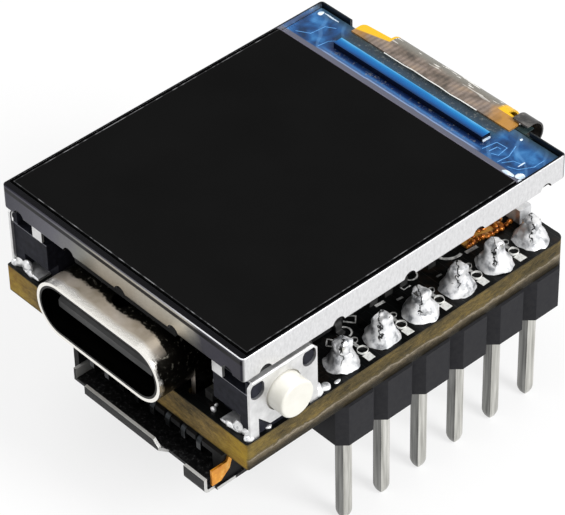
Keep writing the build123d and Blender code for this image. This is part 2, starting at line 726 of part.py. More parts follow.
def make_switch_body():
    """Moulded body: low shoulders, end recesses over the terminals, a well, pegs for the cover."""
    ridge = (BODY_FRONT + BODY_SHOULDER_WIDTH, BODY_BACK - BODY_SHOULDER_WIDTH)
    shoulder_zs = (BODY_SHOULDER_HEIGHT, BODY_TOP)
    body = block((SWITCH_REAR, BODY_FACE), (BODY_FRONT, BODY_BACK), (0, BODY_SHOULDER_HEIGHT))
    body += block((SWITCH_REAR, BODY_FACE), ridge, shoulder_zs)
    peg_reach = PEG_SPACING / 2 + PEG_RADIUS
    peg_root = BODY_FACE - PLUNGER_FLANGE_THICKNESS
    body += block((peg_root, BODY_FACE), (SWITCH_Y - peg_reach, SWITCH_Y + peg_reach), shoulder_zs)
    recess_xs = (SWITCH_REAR, BODY_FACE - BODY_RECESS_FROM_FACE)
    recess_zs = (0, BODY_RECESS_HEIGHT)
    body -= block(recess_xs, (BODY_FRONT, BODY_FRONT + BODY_RECESS_DEPTH), recess_zs)
    body -= block(recess_xs, (BODY_BACK - BODY_RECESS_DEPTH, BODY_BACK), recess_zs)
    well = Pos(SWITCH_Y, PLUNGER_Z) * Circle(PLUNGER_FLANGE_RADIUS + PLUNGER_CLEARANCE)
    body -= crosswise(well, DOME_SEAT, BODY_FACE)
    for y in centred_steps(2, PEG_SPACING, SWITCH_Y):
        peg = Pos(y, PEG_Z) * Circle(PEG_RADIUS)
        body += crosswise(peg, peg_root, BODY_FACE + PEG_STAND)
    return body


def make_plunger():
    """Round button with a flange behind the cover and a stem that meets the dome."""
    face = SWITCH_FACE + PLUNGER_STAND
    head = turned(polygon([
        (STEM_END, 0),
        (STEM_END, PLUNGER_STEM_RADIUS),
        (FLANGE_INNER, PLUNGER_STEM_RADIUS),
        (FLANGE_INNER, PLUNGER_FLANGE_RADIUS),
        (FLANGE_OUTER, PLUNGER_FLANGE_RADIUS),
        (FLANGE_OUTER, PLUNGER_RADIUS),
        (face, PLUNGER_RADIUS),
        (face, 0),
    ]))
    rim = head.edges().filter_by(GeomType.CIRCLE).sort_by(Axis.X)[-1]
    return fillet(rim, PLUNGER_ROUND)


def turned(outline):
    """A turned piece on the plunger's axis: its outline is place across the board and radius."""
    return Pos(0, SWITCH_Y, PLUNGER_Z) * revolve(Plane.XZ * outline, Axis.X)


def make_dome():
    """Shallow snap dome, a cap of a thin sphere, on the floor of the well."""
    rim = PLUNGER_FLANGE_RADIUS + PLUNGER_CLEARANCE - DOME_CLEARANCE
    radius = (rim**2 + DOME_RISE**2) / (2 * DOME_RISE)
    ball = Rot(0, 90, 0) * (Sphere(radius) - Sphere(radius - DOME_THICKNESS))
    cap = crosswise(Pos(SWITCH_Y, PLUNGER_Z) * Circle(rim), DOME_SEAT, DOME_TOP + DOME_RISE)
    return (Pos(DOME_TOP - radius, SWITCH_Y, PLUNGER_Z) * ball) & cap


def make_terminals():
    """Two solder terminals that come out of the body's end recesses onto the board."""
    outer = SWITCH_FACE - TERMINAL_FROM_FACE
    xs = (outer - TERMINAL_WIDTH, outer)
    zs = (0, TERMINAL_HEIGHT)
    front = block(xs, (BODY_FRONT - TERMINAL_REACH, BODY_FRONT + BODY_RECESS_DEPTH), zs)
    back = block(xs, (BODY_BACK - BODY_RECESS_DEPTH, BODY_BACK + TERMINAL_REACH), zs)
    return joined([front, back])


def make_switch():
    return {
        "body": make_switch_body(),
        "cover": make_switch_cover(),
        "plunger": make_plunger(),
        "dome": make_dome(),
        "terminals": make_terminals(),
    }


# Card socket under the front edge

def socket_plan(front, front_left):
    """The socket's outline from above: its front left corner is cut back."""
    return polygon([
        (front_left, front),
        (SOCKET_RIGHT, front),
        (SOCKET_RIGHT, SOCKET_BACK),
        (SOCKET_LEFT, SOCKET_BACK),
        (SOCKET_LEFT, STEP_Y),
        (front_left, STEP_Y),
    ])


def make_socket_shell():
    """Sheet floor with two front lips, side walls and ears soldered under the board."""
    sheet = SOCKET_SHEET
    front = SOCKET_FRONT + LIP_SETBACK
    shell = raised(socket_plan(front, CARD_SLOT_LEFT), SOCKET_BOTTOM, SOCKET_FLOOR)
    side_lip_xs = (CARD_SLOT_LEFT, CARD_SLOT_LEFT + sheet)
    side_lip_zs = (SOCKET_BOTTOM, BOARD_BOTTOM - SIDE_LIP_TOP_DROP)
    shell += block(side_lip_xs, (front, STEP_Y), side_lip_zs)
    shell = fused([shell, make_long_lip(), make_short_lip()])
    wall_zs = (SOCKET_BOTTOM, BOARD_BOTTOM)
    shell += block((SOCKET_RIGHT - sheet, SOCKET_RIGHT), (POCKET_BACK, SOCKET_BACK), wall_zs)
    shell += block((SOCKET_LEFT, SOCKET_LEFT + sheet), (STEP_Y, SOCKET_BACK), wall_zs)
    ear_zs = (BOARD_BOTTOM - sheet, BOARD_BOTTOM)
    for front in (POCKET_BACK, POCKET_BACK + SOCKET_EAR_WIDTH + SOCKET_EAR_GAP):
        ear_xs = (SOCKET_RIGHT, SOCKET_RIGHT + SOCKET_EAR_REACH)
        shell += block(ear_xs, (front, front + SOCKET_EAR_WIDTH), ear_zs)
    return shell


def make_long_lip():
    """Upright lip that slants back to the floor, with its right end cut at a slant."""
    front, sheet = SOCKET_FRONT, SOCKET_SHEET
    top = BOARD_BOTTOM - LONG_LIP_TOP_DROP
    knee = BOARD_BOTTOM - LONG_LIP_BOTTOM_DROP
    lip = crosswise(polygon([
        (front, top),
        (front, knee),
        (front + LIP_SETBACK, SOCKET_BOTTOM),
        (front + LIP_SETBACK, SOCKET_FLOOR),
        (front + sheet, knee + sheet / 2),
        (front + sheet, top),
    ]), LONG_LIP_LEFT, LONG_LIP_RIGHT)
    slant = polygon([
        (LONG_LIP_RIGHT - LONG_LIP_SLANT, top),
        (LONG_LIP_RIGHT, top),
        (LONG_LIP_RIGHT, knee + sheet),
    ])
    return lip - lengthwise(slant, front, front + sheet)


def make_short_lip():
    """Lip at the right corner, folded up from the floor with a round bend."""
    middle = SOCKET_SHEET / 2
    path = FilletPolyline(
        (SOCKET_FRONT + middle, BOARD_BOTTOM - SHORT_LIP_TOP_DROP),
        (SOCKET_FRONT + middle, SOCKET_BOTTOM + middle),
        (SOCKET_FRONT + LIP_SETBACK, SOCKET_BOTTOM + middle),
        radius=SHORT_LIP_BEND - middle,
    )
    return strip(path, SOCKET_SHEET, SHORT_LIP_LEFT, SHORT_LIP_RIGHT)


def make_socket_housing():
    """Moulded ceiling, side rails and back wall round the card slot, with the contacts' slots."""
    front = SOCKET_FRONT + CEILING_SETBACK
    housing = raised(socket_plan(front, SOCKET_STEP_X), SOCKET_FLOOR, BOARD_BOTTOM)
    slot_ys = (front, SOCKET_BACK - SOCKET_BACK_WALL)
    housing -= block((CARD_SLOT_LEFT, CARD_SLOT_RIGHT), slot_ys, (SOCKET_FLOOR, CARD_CEILING))
    pocket_xs = (CARD_SLOT_RIGHT + SIDE_SPRING_FROM_SLOT, SOCKET_RIGHT)
    housing -= block(pocket_xs, (front, POCKET_BACK), (SOCKET_FLOOR, BOARD_BOTTOM - POCKET_ROOF))
    wall_zs = (SOCKET_FLOOR, BOARD_BOTTOM)
    housing -= block((SOCKET_RIGHT - SOCKET_SHEET, SOCKET_RIGHT), (POCKET_BACK, SOCKET_BACK), wall_zs)
    housing -= block((SOCKET_LEFT, SOCKET_LEFT + SOCKET_SHEET), (STEP_Y, SOCKET_BACK), wall_zs)
    half = SOCKET_CONTACT_WIDTH / 2 + SOCKET_CONTACT_CLEARANCE
    slit_back = CURL_Y + CONTACT_RUN + CONTACT_DIP_RUN + CONTACT_TIP_RUN
    for x in CONTACT_XS:
        housing -= block((x - half, x + half), (front, slit_back), (CARD_CEILING, BOARD_BOTTOM))
    return housing


def make_socket_contact(x):
    """One card contact: curled at the front, then an arm that dips into the slot."""
    high = BOARD_BOTTOM - SOCKET_CONTACT_SHEET / 2
    low = high - CURL_HEIGHT
    curl_front = CURL_Y - CURL_RADIUS
    run_end = CURL_Y + CONTACT_RUN
    dip = high - CONTACT_DIP
    fold = CURL_RADIUS * FOLD_SHARE
    path = FilletPolyline(
        (CURL_Y + CURL_RADIUS, low),
        (curl_front, low),
        (curl_front, high),
        (run_end, high),
        (run_end + CONTACT_DIP_RUN, dip),
        (run_end + CONTACT_DIP_RUN + CONTACT_TIP_RUN, CARD_CEILING),
        radius=[fold, fold, CURL_RADIUS, CURL_RADIUS],
    )
    half = SOCKET_CONTACT_WIDTH / 2
    return strip(path, SOCKET_CONTACT_SHEET, x - half, x + half)


def make_side_spring():
    """Gilt leaf at the open right side: broad at the front, with a finger that rises at the back."""
    left = CARD_SLOT_RIGHT + SIDE_SPRING_FROM_SLOT
    front = SOCKET_FRONT + SIDE_SPRING_INSET
    low = SOCKET_FLOOR + SIDE_SPRING_LIFT
    high = low + SIDE_SPRING_HEIGHT
    back = front + SIDE_SPRING_REACH
    leaf = polygon([
        (front, low),
        (front, high),
        (back - SIDE_SPRING_FINGER, high),
        (back - SIDE_SPRING_FINGER / 2, high + SIDE_SPRING_FINGER),
        (back, high),
        (back - SIDE_SPRING_FINGER / 2, low + SIDE_SPRING_HEIGHT / 2),
        (front + SIDE_SPRING_FOOT, low),
    ])
    return crosswise(leaf, left, left + SIDE_SPRING_SHEET)


def make_card_socket():
    contacts = joined([make_socket_contact(x) for x in CONTACT_XS])
    return make_socket_shell(), make_socket_housing(), contacts, make_side_spring()


# Parts on the board

def make_main_chip():
    """Flat package on a pad, with a round mark recessed in one corner."""
    half = MAIN_CHIP_SIDE / 2
    ys = (MAIN_CHIP_Y - half, MAIN_CHIP_Y + half)
    chip = block((-half, half), ys, (CHIP_PAD_SHEET, MAIN_CHIP_HEIGHT))
    corner = half - MAIN_CHIP_MARK_INSET
    mark = Pos(-corner, MAIN_CHIP_Y + corner) * Circle(MAIN_CHIP_MARK_RADIUS)
    chip -= raised(mark, MAIN_CHIP_HEIGHT - CHIP_PAD_SHEET, MAIN_CHIP_HEIGHT)
    pad = half - MAIN_CHIP_PAD_MARGIN
    pads = block((-pad, pad), (MAIN_CHIP_Y - pad, MAIN_CHIP_Y + pad), (0, CHIP_PAD_SHEET))
    return chip + pads


def make_crystal():
    """Ceramic base and the narrower metal lid on it."""
    width, length, height = CRYSTAL_SIZE
    base = centred_block(CRYSTAL_AT, width, length, (0, height - CRYSTAL_LID_HEIGHT))
    inset = 2 * CRYSTAL_LID_INSET
    lid_zs = (height - CRYSTAL_LID_HEIGHT, height)
    return base + centred_block(CRYSTAL_AT, width - inset, length - inset, lid_zs)


def centred_block(at, width, length, zs):
    """A box round a place on the board."""
    x, y = at
    return block((x - width / 2, x + width / 2), (y - length / 2, y + length / 2), zs)


def make_regulator():
    """Small five-lead package: body and leads."""
    x, y = REGULATOR_AT
    width, length, height = REGULATOR_SIZE
    body = centred_block(REGULATOR_AT, width, length, (REGULATOR_LEAD_THICKNESS, height))
    leads = [
        make_regulator_lead(x + side * width / 2, y + step * REGULATOR_LEAD_PITCH, side)
        for side, steps in ((-1, (-1, 0, 1)), (1, (-1, 1)))
        for step in steps
    ]
    return body, joined(leads)


def make_regulator_lead(x, y, side):
    """A gull-wing lead from the body's flank to the board."""
    knee = x + side * REGULATOR_LEAD_KNEE
    toe = x + side * REGULATOR_LEAD_REACH
    middle = REGULATOR_SIZE[2] / 2
    low = REGULATOR_LEAD_THICKNESS / 2
    path = FilletPolyline(
        (x, middle),
        (knee, middle),
        (knee, low),
        (toe, low),
        radius=REGULATOR_LEAD_THICKNESS * FOLD_SHARE,
    )
    half = REGULATOR_LEAD_WIDTH / 2
    return lengthwise(trace(path, REGULATOR_LEAD_THICKNESS), y - half, y + half)


# Where the chip parts lie: across the board, along it, and their turn in degrees
CAPACITOR_PLACES = [
    (-5.2, BOARD_FRONT + EDGE_CAPACITOR_INSET, 90),
    (5.2, BOARD_FRONT + EDGE_CAPACITOR_INSET, 90),
    (-5.2, 1.2, 0),
    (-5.2, 0.2, 0),
    (-5.2, -0.8, 0),
    (-2.6, -2.9, 90),
    (-1.4, -2.9, 90),
    (5.3, 2.3, 0),
]
RESISTOR_PLACES = [
    (0.2, -2.9, 90),
    (1.4, -2.9, 90),
    (5.3, 1.3, 0),
    (5.3, 0.3, 0),
    (5.3, 4.2, 0),
    (-5.2, 5.4, 0),
]


def make_chips(places, height):
    """Chip parts lying on the board: bodies and their metal ends."""
    inner = CHIP_LENGTH / 2 - CHIP_END_LENGTH
    half = CHIP_WIDTH / 2
    body = block((-inner, inner), (-half, half), (0, height))
    end = block((inner, CHIP_LENGTH / 2), (-half, half), (0, height))
    bodies = [Pos(x, y) * Rot(0, 0, turn) * body for x, y, turn in places]
    ends = [
        Pos(x, y) * Rot(0, 0, turn + half_turn) * end
        for x, y, turn in places
        for half_turn in (0, 180)
    ]
    return joined(bodies), joined(ends)


def make_antenna():
    """Ceramic aerial block with two metal ends, at the back right corner."""
    width, length, height = ANTENNA_SIZE
    right = ANTENNA_RIGHT
    left = right - width
    ys = (BOARD_BACK - ANTENNA_FROM_BACK - length, BOARD_BACK - ANTENNA_FROM_BACK)
    end = ANTENNA_END_LENGTH
    body = block((left + end, right - end), ys, (0, height))
    left_end = block((left, left + end), ys, (0, height))
    right_end = block((right - end, right), ys, (0, height))
    return body, joined([left_end, right_end])


# Foam that carries the display

def make_switch_foam():
    xs = (SWITCH_REAR + FOAM_MARGIN, SWITCH_FACE - FOAM_MARGIN)
    ys = (SWITCH_FRONT + 2 * FOAM_MARGIN, SWITCH_BACK - FOAM_MARGIN)
    pad = block(xs, ys, (COVER_HEIGHT, DISPLAY_GAP))
    return joined([pad, mirrored(pad)])


def make_port_foam():
    half = PORT_FOAM_WIDTH / 2
    front = DISPLAY_FRONT + PORT_FOAM_SETBACK
    return block((-half, half), (front, front + PORT_FOAM_LENGTH), (PORT_HEIGHT, DISPLAY_GAP))


def make_chip_foam():
    half = MAIN_CHIP_SIDE / 2 - FOAM_MARGIN
    ys = (MAIN_CHIP_Y - half, MAIN_CHIP_Y + half)
    return block((-half, half), ys, (MAIN_CHIP_HEIGHT, DISPLAY_GAP))


def build():
    """Every piece, by name."""
    parts = {"circuit_board": make_board()}
    for name, side in (("right", 1), ("left", -1)):
        insulator, pins, solder = make_header(side)
        parts[f"{name}_header_insulator"] = insulator
        parts[f"{name}_header_pins"] = pins
        parts[f"{name}_header_solder"] = solder

    front = INNER_FRONT + GLASS_CLEARANCE
    back = INNER_BACK - GLASS_CLEARANCE
    parts["display_frame"] = make_frame()
    parts["backlight_tray"] = make_tray()
    parts["reflector_film"] = cavity_sheet(DISPLAY_GAP + FRAME_SHEET, REFLECTOR_THICKNESS)
    parts["light_guide"] = cavity_sheet(GUIDE_Z, GUIDE_THICKNESS, GUIDE_BACK)
    parts["diffuser_films"] = cavity_sheet(FILM_Z, FILM_THICKNESS)
    parts["rear_polariser"] = cavity_sheet(REAR_POLARISER_Z, REAR_POLARISER_THICKNESS)
    parts["backlight_leds"] = make_leds()
    parts["back_glass"] = glass_sheet(front, back, BACK_GLASS_Z, GLASS_THICKNESS)
    front_glass_back = POLARISER_BACK + FRONT_GLASS_OVERHANG
    parts["front_glass"] = glass_sheet(front, front_glass_back, LEDGE_Z, GLASS_THICKNESS)
    polariser = glass_sheet(POLARISER_FRONT, POLARISER_BACK, POLARISER_Z, POLARISER_THICKNESS)
    parts["front_polariser"] = polariser
    parts["driver_chip"] = make_driver()
    parts["display_flex"] = make_display_flex()
    parts["backlight_flex"] = make_backlight_flex()

    parts["port_shell"], parts["port_core"], parts["port_contacts"] = make_port()

    for piece, shape in make_switch().items():
        parts[f"right_switch_{piece}"] = shape
        parts[f"left_switch_{piece}"] = mirrored(shape)

    socket = make_card_socket()
    names = ("card_socket_shell", "card_socket_housing", "card_socket_contacts", "card_socket_spring")
    parts.update(zip(names, socket))

    parts["main_chip"] = make_main_chip()
    parts["crystal"] = make_crystal()
    parts["regulator"], parts["regulator_leads"] = make_regulator()
    parts["chip_capacitors"], parts["capacitor_ends"] = make_chips(CAPACITOR_PLACES, CAPACITOR_HEIGHT)
    parts["chip_resistors"], parts["resistor_ends"] = make_chips(RESISTOR_PLACES, RESISTOR_HEIGHT)
    parts["chip_antenna"], parts["antenna_ends"] = make_antenna()
    parts["switch_foam_pads"] = make_switch_foam()
    parts["port_foam_pad"] = make_port_foam()
    parts["display_foam_block"] = make_chip_foam()
    return parts


os.makedirs("parts", exist_ok=True)
for node, shape in build().items():
    export_step(SET_DOWN * shape, f"parts/{node}.step")
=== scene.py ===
import math
from functools import partial

import bmesh
import bpy
from mathutils import Matrix, Vector, noise


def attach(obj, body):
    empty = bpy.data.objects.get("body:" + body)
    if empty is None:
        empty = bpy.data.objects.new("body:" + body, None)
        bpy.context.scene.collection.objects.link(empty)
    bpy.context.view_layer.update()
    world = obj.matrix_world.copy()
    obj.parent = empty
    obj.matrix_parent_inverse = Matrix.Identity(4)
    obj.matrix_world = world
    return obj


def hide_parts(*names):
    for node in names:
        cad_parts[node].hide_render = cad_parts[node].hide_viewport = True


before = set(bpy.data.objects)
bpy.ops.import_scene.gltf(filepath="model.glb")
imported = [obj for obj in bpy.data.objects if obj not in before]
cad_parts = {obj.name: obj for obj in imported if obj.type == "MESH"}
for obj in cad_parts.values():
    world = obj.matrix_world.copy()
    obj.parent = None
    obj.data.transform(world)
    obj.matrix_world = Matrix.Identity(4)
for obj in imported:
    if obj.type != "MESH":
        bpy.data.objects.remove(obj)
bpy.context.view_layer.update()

# Sizes are the board's own millimetres: x to the right, y to the back, z = 0 on the board's face.
# The frame stands on the pin tips and is centred on the whole part, so it lies this far away.
MM = 0.001
BOARD_TO_FRAME = Vector((0.0, 0.11, 10.35))

BOARD_EDGE = 8.7
BOARD_FRONT = -10.5
BOARD_UNDERSIDE = -1.6
PIN_ROW = 7.62
PIN_PITCH = 2.54
FIRST_PIN = 9.23
PINS = 6
PIN_WIDTH = 0.64
PIN_TOP = 1.25
PIN_TIP = -10.35
LEDGE_TOP = 4.88
PICTURE_EDGE = 8.39
PICTURE_FRONT = -10.07
FRAME_TOP = 5.2
INK_HEIGHT = 0.02
LUMP_SEED = 7
BODY_RIDGE = 2.6
SOCKET_FLOOR = -3.42
PORT_MIDDLE = 1.6
PORT_STRAIGHT = 2.82


def at(x, y, z):
    """A place on the board as a point of the frame."""
    return (Vector((x, y, z)) + BOARD_TO_FRAME) * MM


def per(size):
    """The texture scale at which a pattern repeats every so many millimetres."""
    return 1 / (size * MM)


# Node trees

def paint(code):
    """An sRGB hex colour as linear red, green, blue and alpha."""
    parts = [int(code[i:i + 2], 16) / 255 for i in (1, 3, 5)]
    linear = [p / 12.92 if p <= 0.04045 else ((p + 0.055) / 1.055) ** 2.4 for p in parts]
    return (*linear, 1.0)


# A mix blends colours, unless its call says otherwise
USUAL_SETTINGS = {"Mix": {"data_type": "RGBA"}}


def add_node(tree, kind, sources=(), stops=None, **settings):
    """Adds a node with its settings and links. A kind may end in its operation, as in Math.ADD.

    Its sources are nodes, their outputs or plain values: a list of them goes to the node's live
    inputs in turn, and a dict goes by name.
    """
    kind, _, operation = kind.partition(".")
    node = tree.nodes.new(kind if "Node" in kind else "ShaderNode" + kind)
    if operation:
        node.operation = operation
    for name, value in (USUAL_SETTINGS.get(kind, {}) | settings).items():
        setattr(node, name, value)
    if stops:
        ramp = node.color_ramp
        while len(ramp.elements) < len(stops):
            ramp.elements.new(1.0)
        for element, (place, code) in zip(ramp.elements, stops.items()):
            element.position = place
            element.color = paint(code)
    if isinstance(sources, dict):
        pairs = [(node.inputs[name], source) for name, source in sources.items()]
    else:
        pairs = zip([socket for socket in node.inputs if socket.enabled], sources)
    for socket, source in pairs:
        if isinstance(source, bpy.types.Node):
            source = next(output for output in source.outputs if output.enabled)
        if isinstance(source, bpy.types.NodeSocket):
            tree.links.new(source, socket)
        else:
            socket.default_value = source
    return node


def new_surface(name):
    """A bare material, what adds nodes to it, and the coordinates that its patterns lie on."""
    material = bpy.data.materials.new(name)
    material.use_nodes = True
    material.node_tree.nodes.clear()
    node = partial(add_node, material.node_tree)
    return material, node, node("TexCoord").outputs


def on_board(node, place):
    """A surface point's x, y and z in the board's millimetres."""
    shifted = node("VectorMath.MULTIPLY_ADD", [place, (1 / MM,) * 3, -BOARD_TO_FRAME])
    return node("SeparateXYZ", [shifted]).outputs


def end_surface(node, colour, rough, relief=None, **sockets):
    """Ends a material in its shader; its relief is a height and a depth in millimetres."""
    ends = {"Base Color": colour, "Roughness": rough}
    if relief:
        ends["Normal"] = node("Bump", {"Height": relief[0], "Distance": relief[1] * MM})
    ends |= {socket.replace("_", " "): value for socket, value in sockets.items()}
    node("OutputMaterial", {"Surface": node("BsdfPrincipled", ends)})


def mottled(name, stops, grain, rough, depth=0.0, stretch=(1, 1, 1), **sockets):
    """Colour, gloss and relief that vary together over patches of that grain, in millimetres."""
    material, node, coords = new_surface(name)
    stretched = node("Mapping", {"Vector": coords["Object"], "Scale": stretch})
    patches = node("TexNoise", [stretched, per(grain), 4.0, 0.6])
    colour = node("ValToRGB", [patches], stops=stops)
    gloss = node("MapRange", [patches, 0.3, 0.7, *rough])
    end_surface(node, colour, gloss, (patches, depth) if depth else None, **sockets)
    return material


# Finishes

def masked_laminate():
    """Glass-fibre epoxy board: near-black mask on both faces, and a routed edge of cloudy amber resin."""
    material, node, coords = new_surface("glass_fibre_epoxy_routed_and_masked")
    place = coords["Object"]
    spot = on_board(node, place)
    facing = node("SeparateXYZ", [coords["Normal"]]).outputs
    upright = node("Math.ABSOLUTE", [facing["Z"]])
    edge = node("Math.LESS_THAN", [upright, 0.5])
    sideways = node("Math.ABSOLUTE", [facing["X"]])

    # Resin-rich and fibre-rich patches, a few millimetres long and thin as the plies
    long_patches = node("Mapping", {"Vector": place, "Scale": (0.6, 0.6, 1.2)})
    clouds = node("TexNoise", [long_patches, per(1.1), 6.0])
    plies = node("Mapping", {"Vector": place, "Scale": (0.6, 0.6, 1.6)})
    fibres = node("TexNoise", [plies, per(0.22), 8.0, 0.75])
    cloudy = node("Math.MULTIPLY", [clouds, 0.45])
    blend = node("Math.MULTIPLY_ADD", [fibres, 0.55, cloudy])
    resin = node("ValToRGB", [blend], stops={
        0.38: "#33290f", 0.45: "#594a27", 0.51: "#6f5c34", 0.56: "#836c3a", 0.64: "#9d8148",
    })

    # The edge is a clearer gold round the front right corner and at its left end
    corner = node("VectorMath.DISTANCE", [place, at(BOARD_EDGE, BOARD_FRONT, -0.6)])
    by_corner = node("MapRange", [corner, 0.1 * MM, 3.2 * MM, 0.9, 0.0], interpolation_type="SMOOTHSTEP")
    frontal = node("MapRange", [sideways, 0.3, 0.95, 1.0, 0.25])
    in_front = node("Math.MULTIPLY", [by_corner, frontal])
    left_end = node("MapRange", [spot["X"], -8.6, -5.5, 0.8, 0.0], interpolation_type="SMOOTHSTEP")
    golden = node("Math.MAXIMUM", [in_front, left_end])
    gold = node("ValToRGB", [blend], stops={0.42: "#9a7422", 0.58: "#bd9c30"})
    gilded = node("Mix", [golden, resin, gold])

    # The long sides are olive, and near-black towards the bottom under one pale torn line
    level = node("MapRange", [spot["Z"], BOARD_UNDERSIDE, 0.0])
    olive = node("Mix", [sideways, gilded, paint("#cdd2cf")], blend_type="MULTIPLY")
    ragged = node("Math.MULTIPLY_ADD", [clouds, 0.3, level])
    torn = node("Math.MULTIPLY_ADD", [fibres, 0.34, ragged])
    lower = node("ValToRGB", [torn], stops={
        0.34: "#080704", 0.48: "#1f1a12", 0.58: "#4a4234", 0.66: "#6d6453", 0.7: "#9c9180", 0.74: "#544c36",
    })
    beneath = node("MapRange", [torn, 0.84, 0.72, 0.0, 0.9])
    long_side = node("Math.MULTIPLY", [beneath, sideways])
    cut = node("Mix", [long_side, olive, lower])
    rims = node("ValToRGB", [level], stops={
        0.0: "#ffffff", 0.04: "#8a8a8a", 0.09: "#000000", 0.93: "#000000", 0.97: "#b0b0b0",
    })
    rimmed = node("Mix", [rims, cut, paint("#14120c")])

    # Tracks show under the mask as low ridges half a millimetre apart, with a hint of copper
    flow = node("TexNoise", [place, per(0.9), 2.0])
    ink = node("ValToRGB", [flow], stops={0.35: "#030404", 0.6: "#070808", 0.72: "#1a130e"})
    tracks = node("TexBrick", {
        "Vector": place, "Scale": per(1.0), "Color1": paint("#ffffff"), "Color2": paint("#e0e0e0"),
        "Mortar": paint("#000000"), "Mortar Size": 0.12, "Brick Width": 1.9, "Row Height": 0.55,
    }, offset=0.3, squash=1.0)
    height = node("Mix", [edge, tracks, fibres], data_type="FLOAT")
    end_surface(
        node, node("Mix", [edge, ink, rimmed]), node("MapRange", [edge, 0.0, 1.0, 0.36, 0.55]),
        (height, 0.05), Specular_IOR_Level=0.2,
    )
    return material


def pressed_frame_steel():
    """Stainless sheet, pressed and folded: satin and pale, with a painted reflection on the front wall that
    is dark at its ends.
    """
    material, node, coords = new_surface("stainless_steel_pressed")
    place = coords["Object"]
    rolled = node("Mapping", {"Vector": place, "Scale": (1.2, 1.2, 0.6)})
    grain = node("TexNoise", [rolled, per(0.16), 6.0, 0.7])
    clouds = node("TexNoise", [place, per(2.2), 5.0])
    bright = node("ValToRGB", [grain], stops={0.3: "#d0d0d1", 0.7: "#e8e8e9"})
    facing = node("SeparateXYZ", [coords["Normal"]]).outputs
    spot = on_board(node, place)

    # Along the front wall a painted reflection is dark at both ends and warm and light in the middle
    drifting = node("Math.MULTIPLY_ADD", [clouds, 2.6, spot["X"]])
    along = node("MapRange", [drifting, -7.4, 10.0])
    painted_wall_reflection = node("ValToRGB", [along], stops={
        0.0: "#393943", 0.1: "#4d4c55", 0.24: "#66656d", 0.34: "#85857f", 0.44: "#b2aea5", 0.66: "#bcbab2",
        0.76: "#b9b7ae", 0.84: "#55545c", 0.92: "#33313d", 1.0: "#232129",
    })
    speckled = node("Mix", [0.5, painted_wall_reflection, bright], blend_type="MULTIPLY")
    # A pressed groove runs under its rim, too narrow for light to reach
    under_rim = node("MapRange", [spot["Z"], FRAME_TOP - 0.5, FRAME_TOP])
    groove = node("ValToRGB", [under_rim], stops={
        0.16: "#000000", 0.24: "#ffffff", 0.62: "#ffffff", 0.72: "#000000",
    })
    grooved = node("Mix", [groove, speckled, paint("#0b0a0e")])
    front = node("MapRange", [facing["Y"], -0.3, -0.85])
    walls = node("Mix", [front, bright, grooved])

    # The front rim has a painted reflection, dark at the left and bright at the right; the sheet's own edge
    # is black
    rim_line = node("MapRange", [drifting, -7.0, 9.5])
    painted_rim_reflection = node("ValToRGB", [rim_line], stops={
        0.0: "#2c2b33", 0.3: "#48474e", 0.55: "#5d5c63", 0.72: "#9d9ca1", 0.85: "#dcdcdf",
    })
    turned = node("MapRange", [facing["Z"], 0.15, 0.4])
    ahead = node("Math.LESS_THAN", [spot["Y"], -10.25])
    front_rim = node("Math.MULTIPLY", [turned, ahead])
    rolled_rim = node("Mix", [front_rim, walls, painted_rim_reflection])
    top = node("MapRange", [facing["Z"], 0.86, 0.96])
    rimmed = node("Mix", [top, rolled_rim, paint("#121215")])
    rear = node("MapRange", [spot["Y"], 10.2, 10.36])
    end_surface(
        node, node("Mix", [rear, rimmed, paint("#262b2f")]),
        node("MapRange", [clouds, 0.3, 0.7, 0.3, 0.42]), (grain, 0.004), Metallic=1.0,
    )
    return material


def ledge_glass():
    """Float glass coated on its back: a blue half-mirror, clouded teal where the adhesive lies below."""
    material, node, coords = new_surface("float_glass_coated")
    place = coords["Object"]
    spot = on_board(node, place)
    clouds = node("TexNoise", {"Vector": place, "Scale": per(1.1), "Detail": 6.0, "Distortion": 0.6})
    blues = node("ValToRGB", [clouds], stops={
        0.34: "#0b2d52", 0.45: "#154478", 0.54: "#20588f", 0.62: "#2e6aa3", 0.74: "#427fb6",
    })
    # Conductor lines, drawn coarse enough to show
    lines = node("TexWave", {
        "Vector": place, "Scale": per(3.2), "Distortion": 3.5, "Detail": 1.0, "Detail Scale": 1.5,
    }, wave_type="BANDS", bands_direction="DIAGONAL").outputs["Fac"]
    thin = node("MapRange", [lines, 0.93, 0.99, 0.0, 0.22])
    lined = node("Mix", [thin, blues, paint("#6ba2d6")])

    # Across the ledge: the picture's mauve rim, a pale line, blue, the driver's shade, dark teal adhesive
    wavy = node("Math.MULTIPLY_ADD", [clouds, 0.12, spot["Y"]])
    across = node("MapRange", [wavy, 7.56, 10.56])
    band = node("ValToRGB", [across], stops={
        0.105: "#5d5e70", 0.125: "#8ea6cc", 0.15: "#3f5c88", 0.19: "#3a6ea8", 0.235: "#152a58",
        0.29: "#020a30", 0.46: "#04143a", 0.59: "#24485c", 0.66: "#2c3a42", 0.76: "#232725",
        0.84: "#4b4e48", 0.95: "#343a37",
    })
    # Dust and swarf lie on it
    specks = node("TexNoise", [place, per(0.18), 3.0, 0.7])
    dusty = node("MapRange", [specks, 0.56, 0.72, 0.0, 0.55])
    dusted = node("Mix", [dusty, band, paint("#8d8f88")])
    middle = node("MapRange", [spot["X"], -6.6, 6.6])
    share = node("ValToRGB", [middle], stops={
        0.02: "#000000", 0.08: "#f6f6f6", 0.86: "#f6f6f6", 0.9: "#000000",
    })
    banded = node("Mix", [share, lined, dusted])
    # Adhesive and dust dull the glass towards the back wall
    behind = node("MapRange", [wavy, 9.7, 10.3, 0.0, 0.75])
    dulled = node("Mix", [behind, banded, paint("#43555a")])
    by_picture = node("MapRange", [spot["Y"], 7.86, 7.8])
    end_surface(
        node, node("Mix", [by_picture, dulled, paint("#5d5e6c")]), 0.32, (clouds, 0.01), Metallic=0.25,
        Specular_IOR_Level=0.25,
    )
    return material


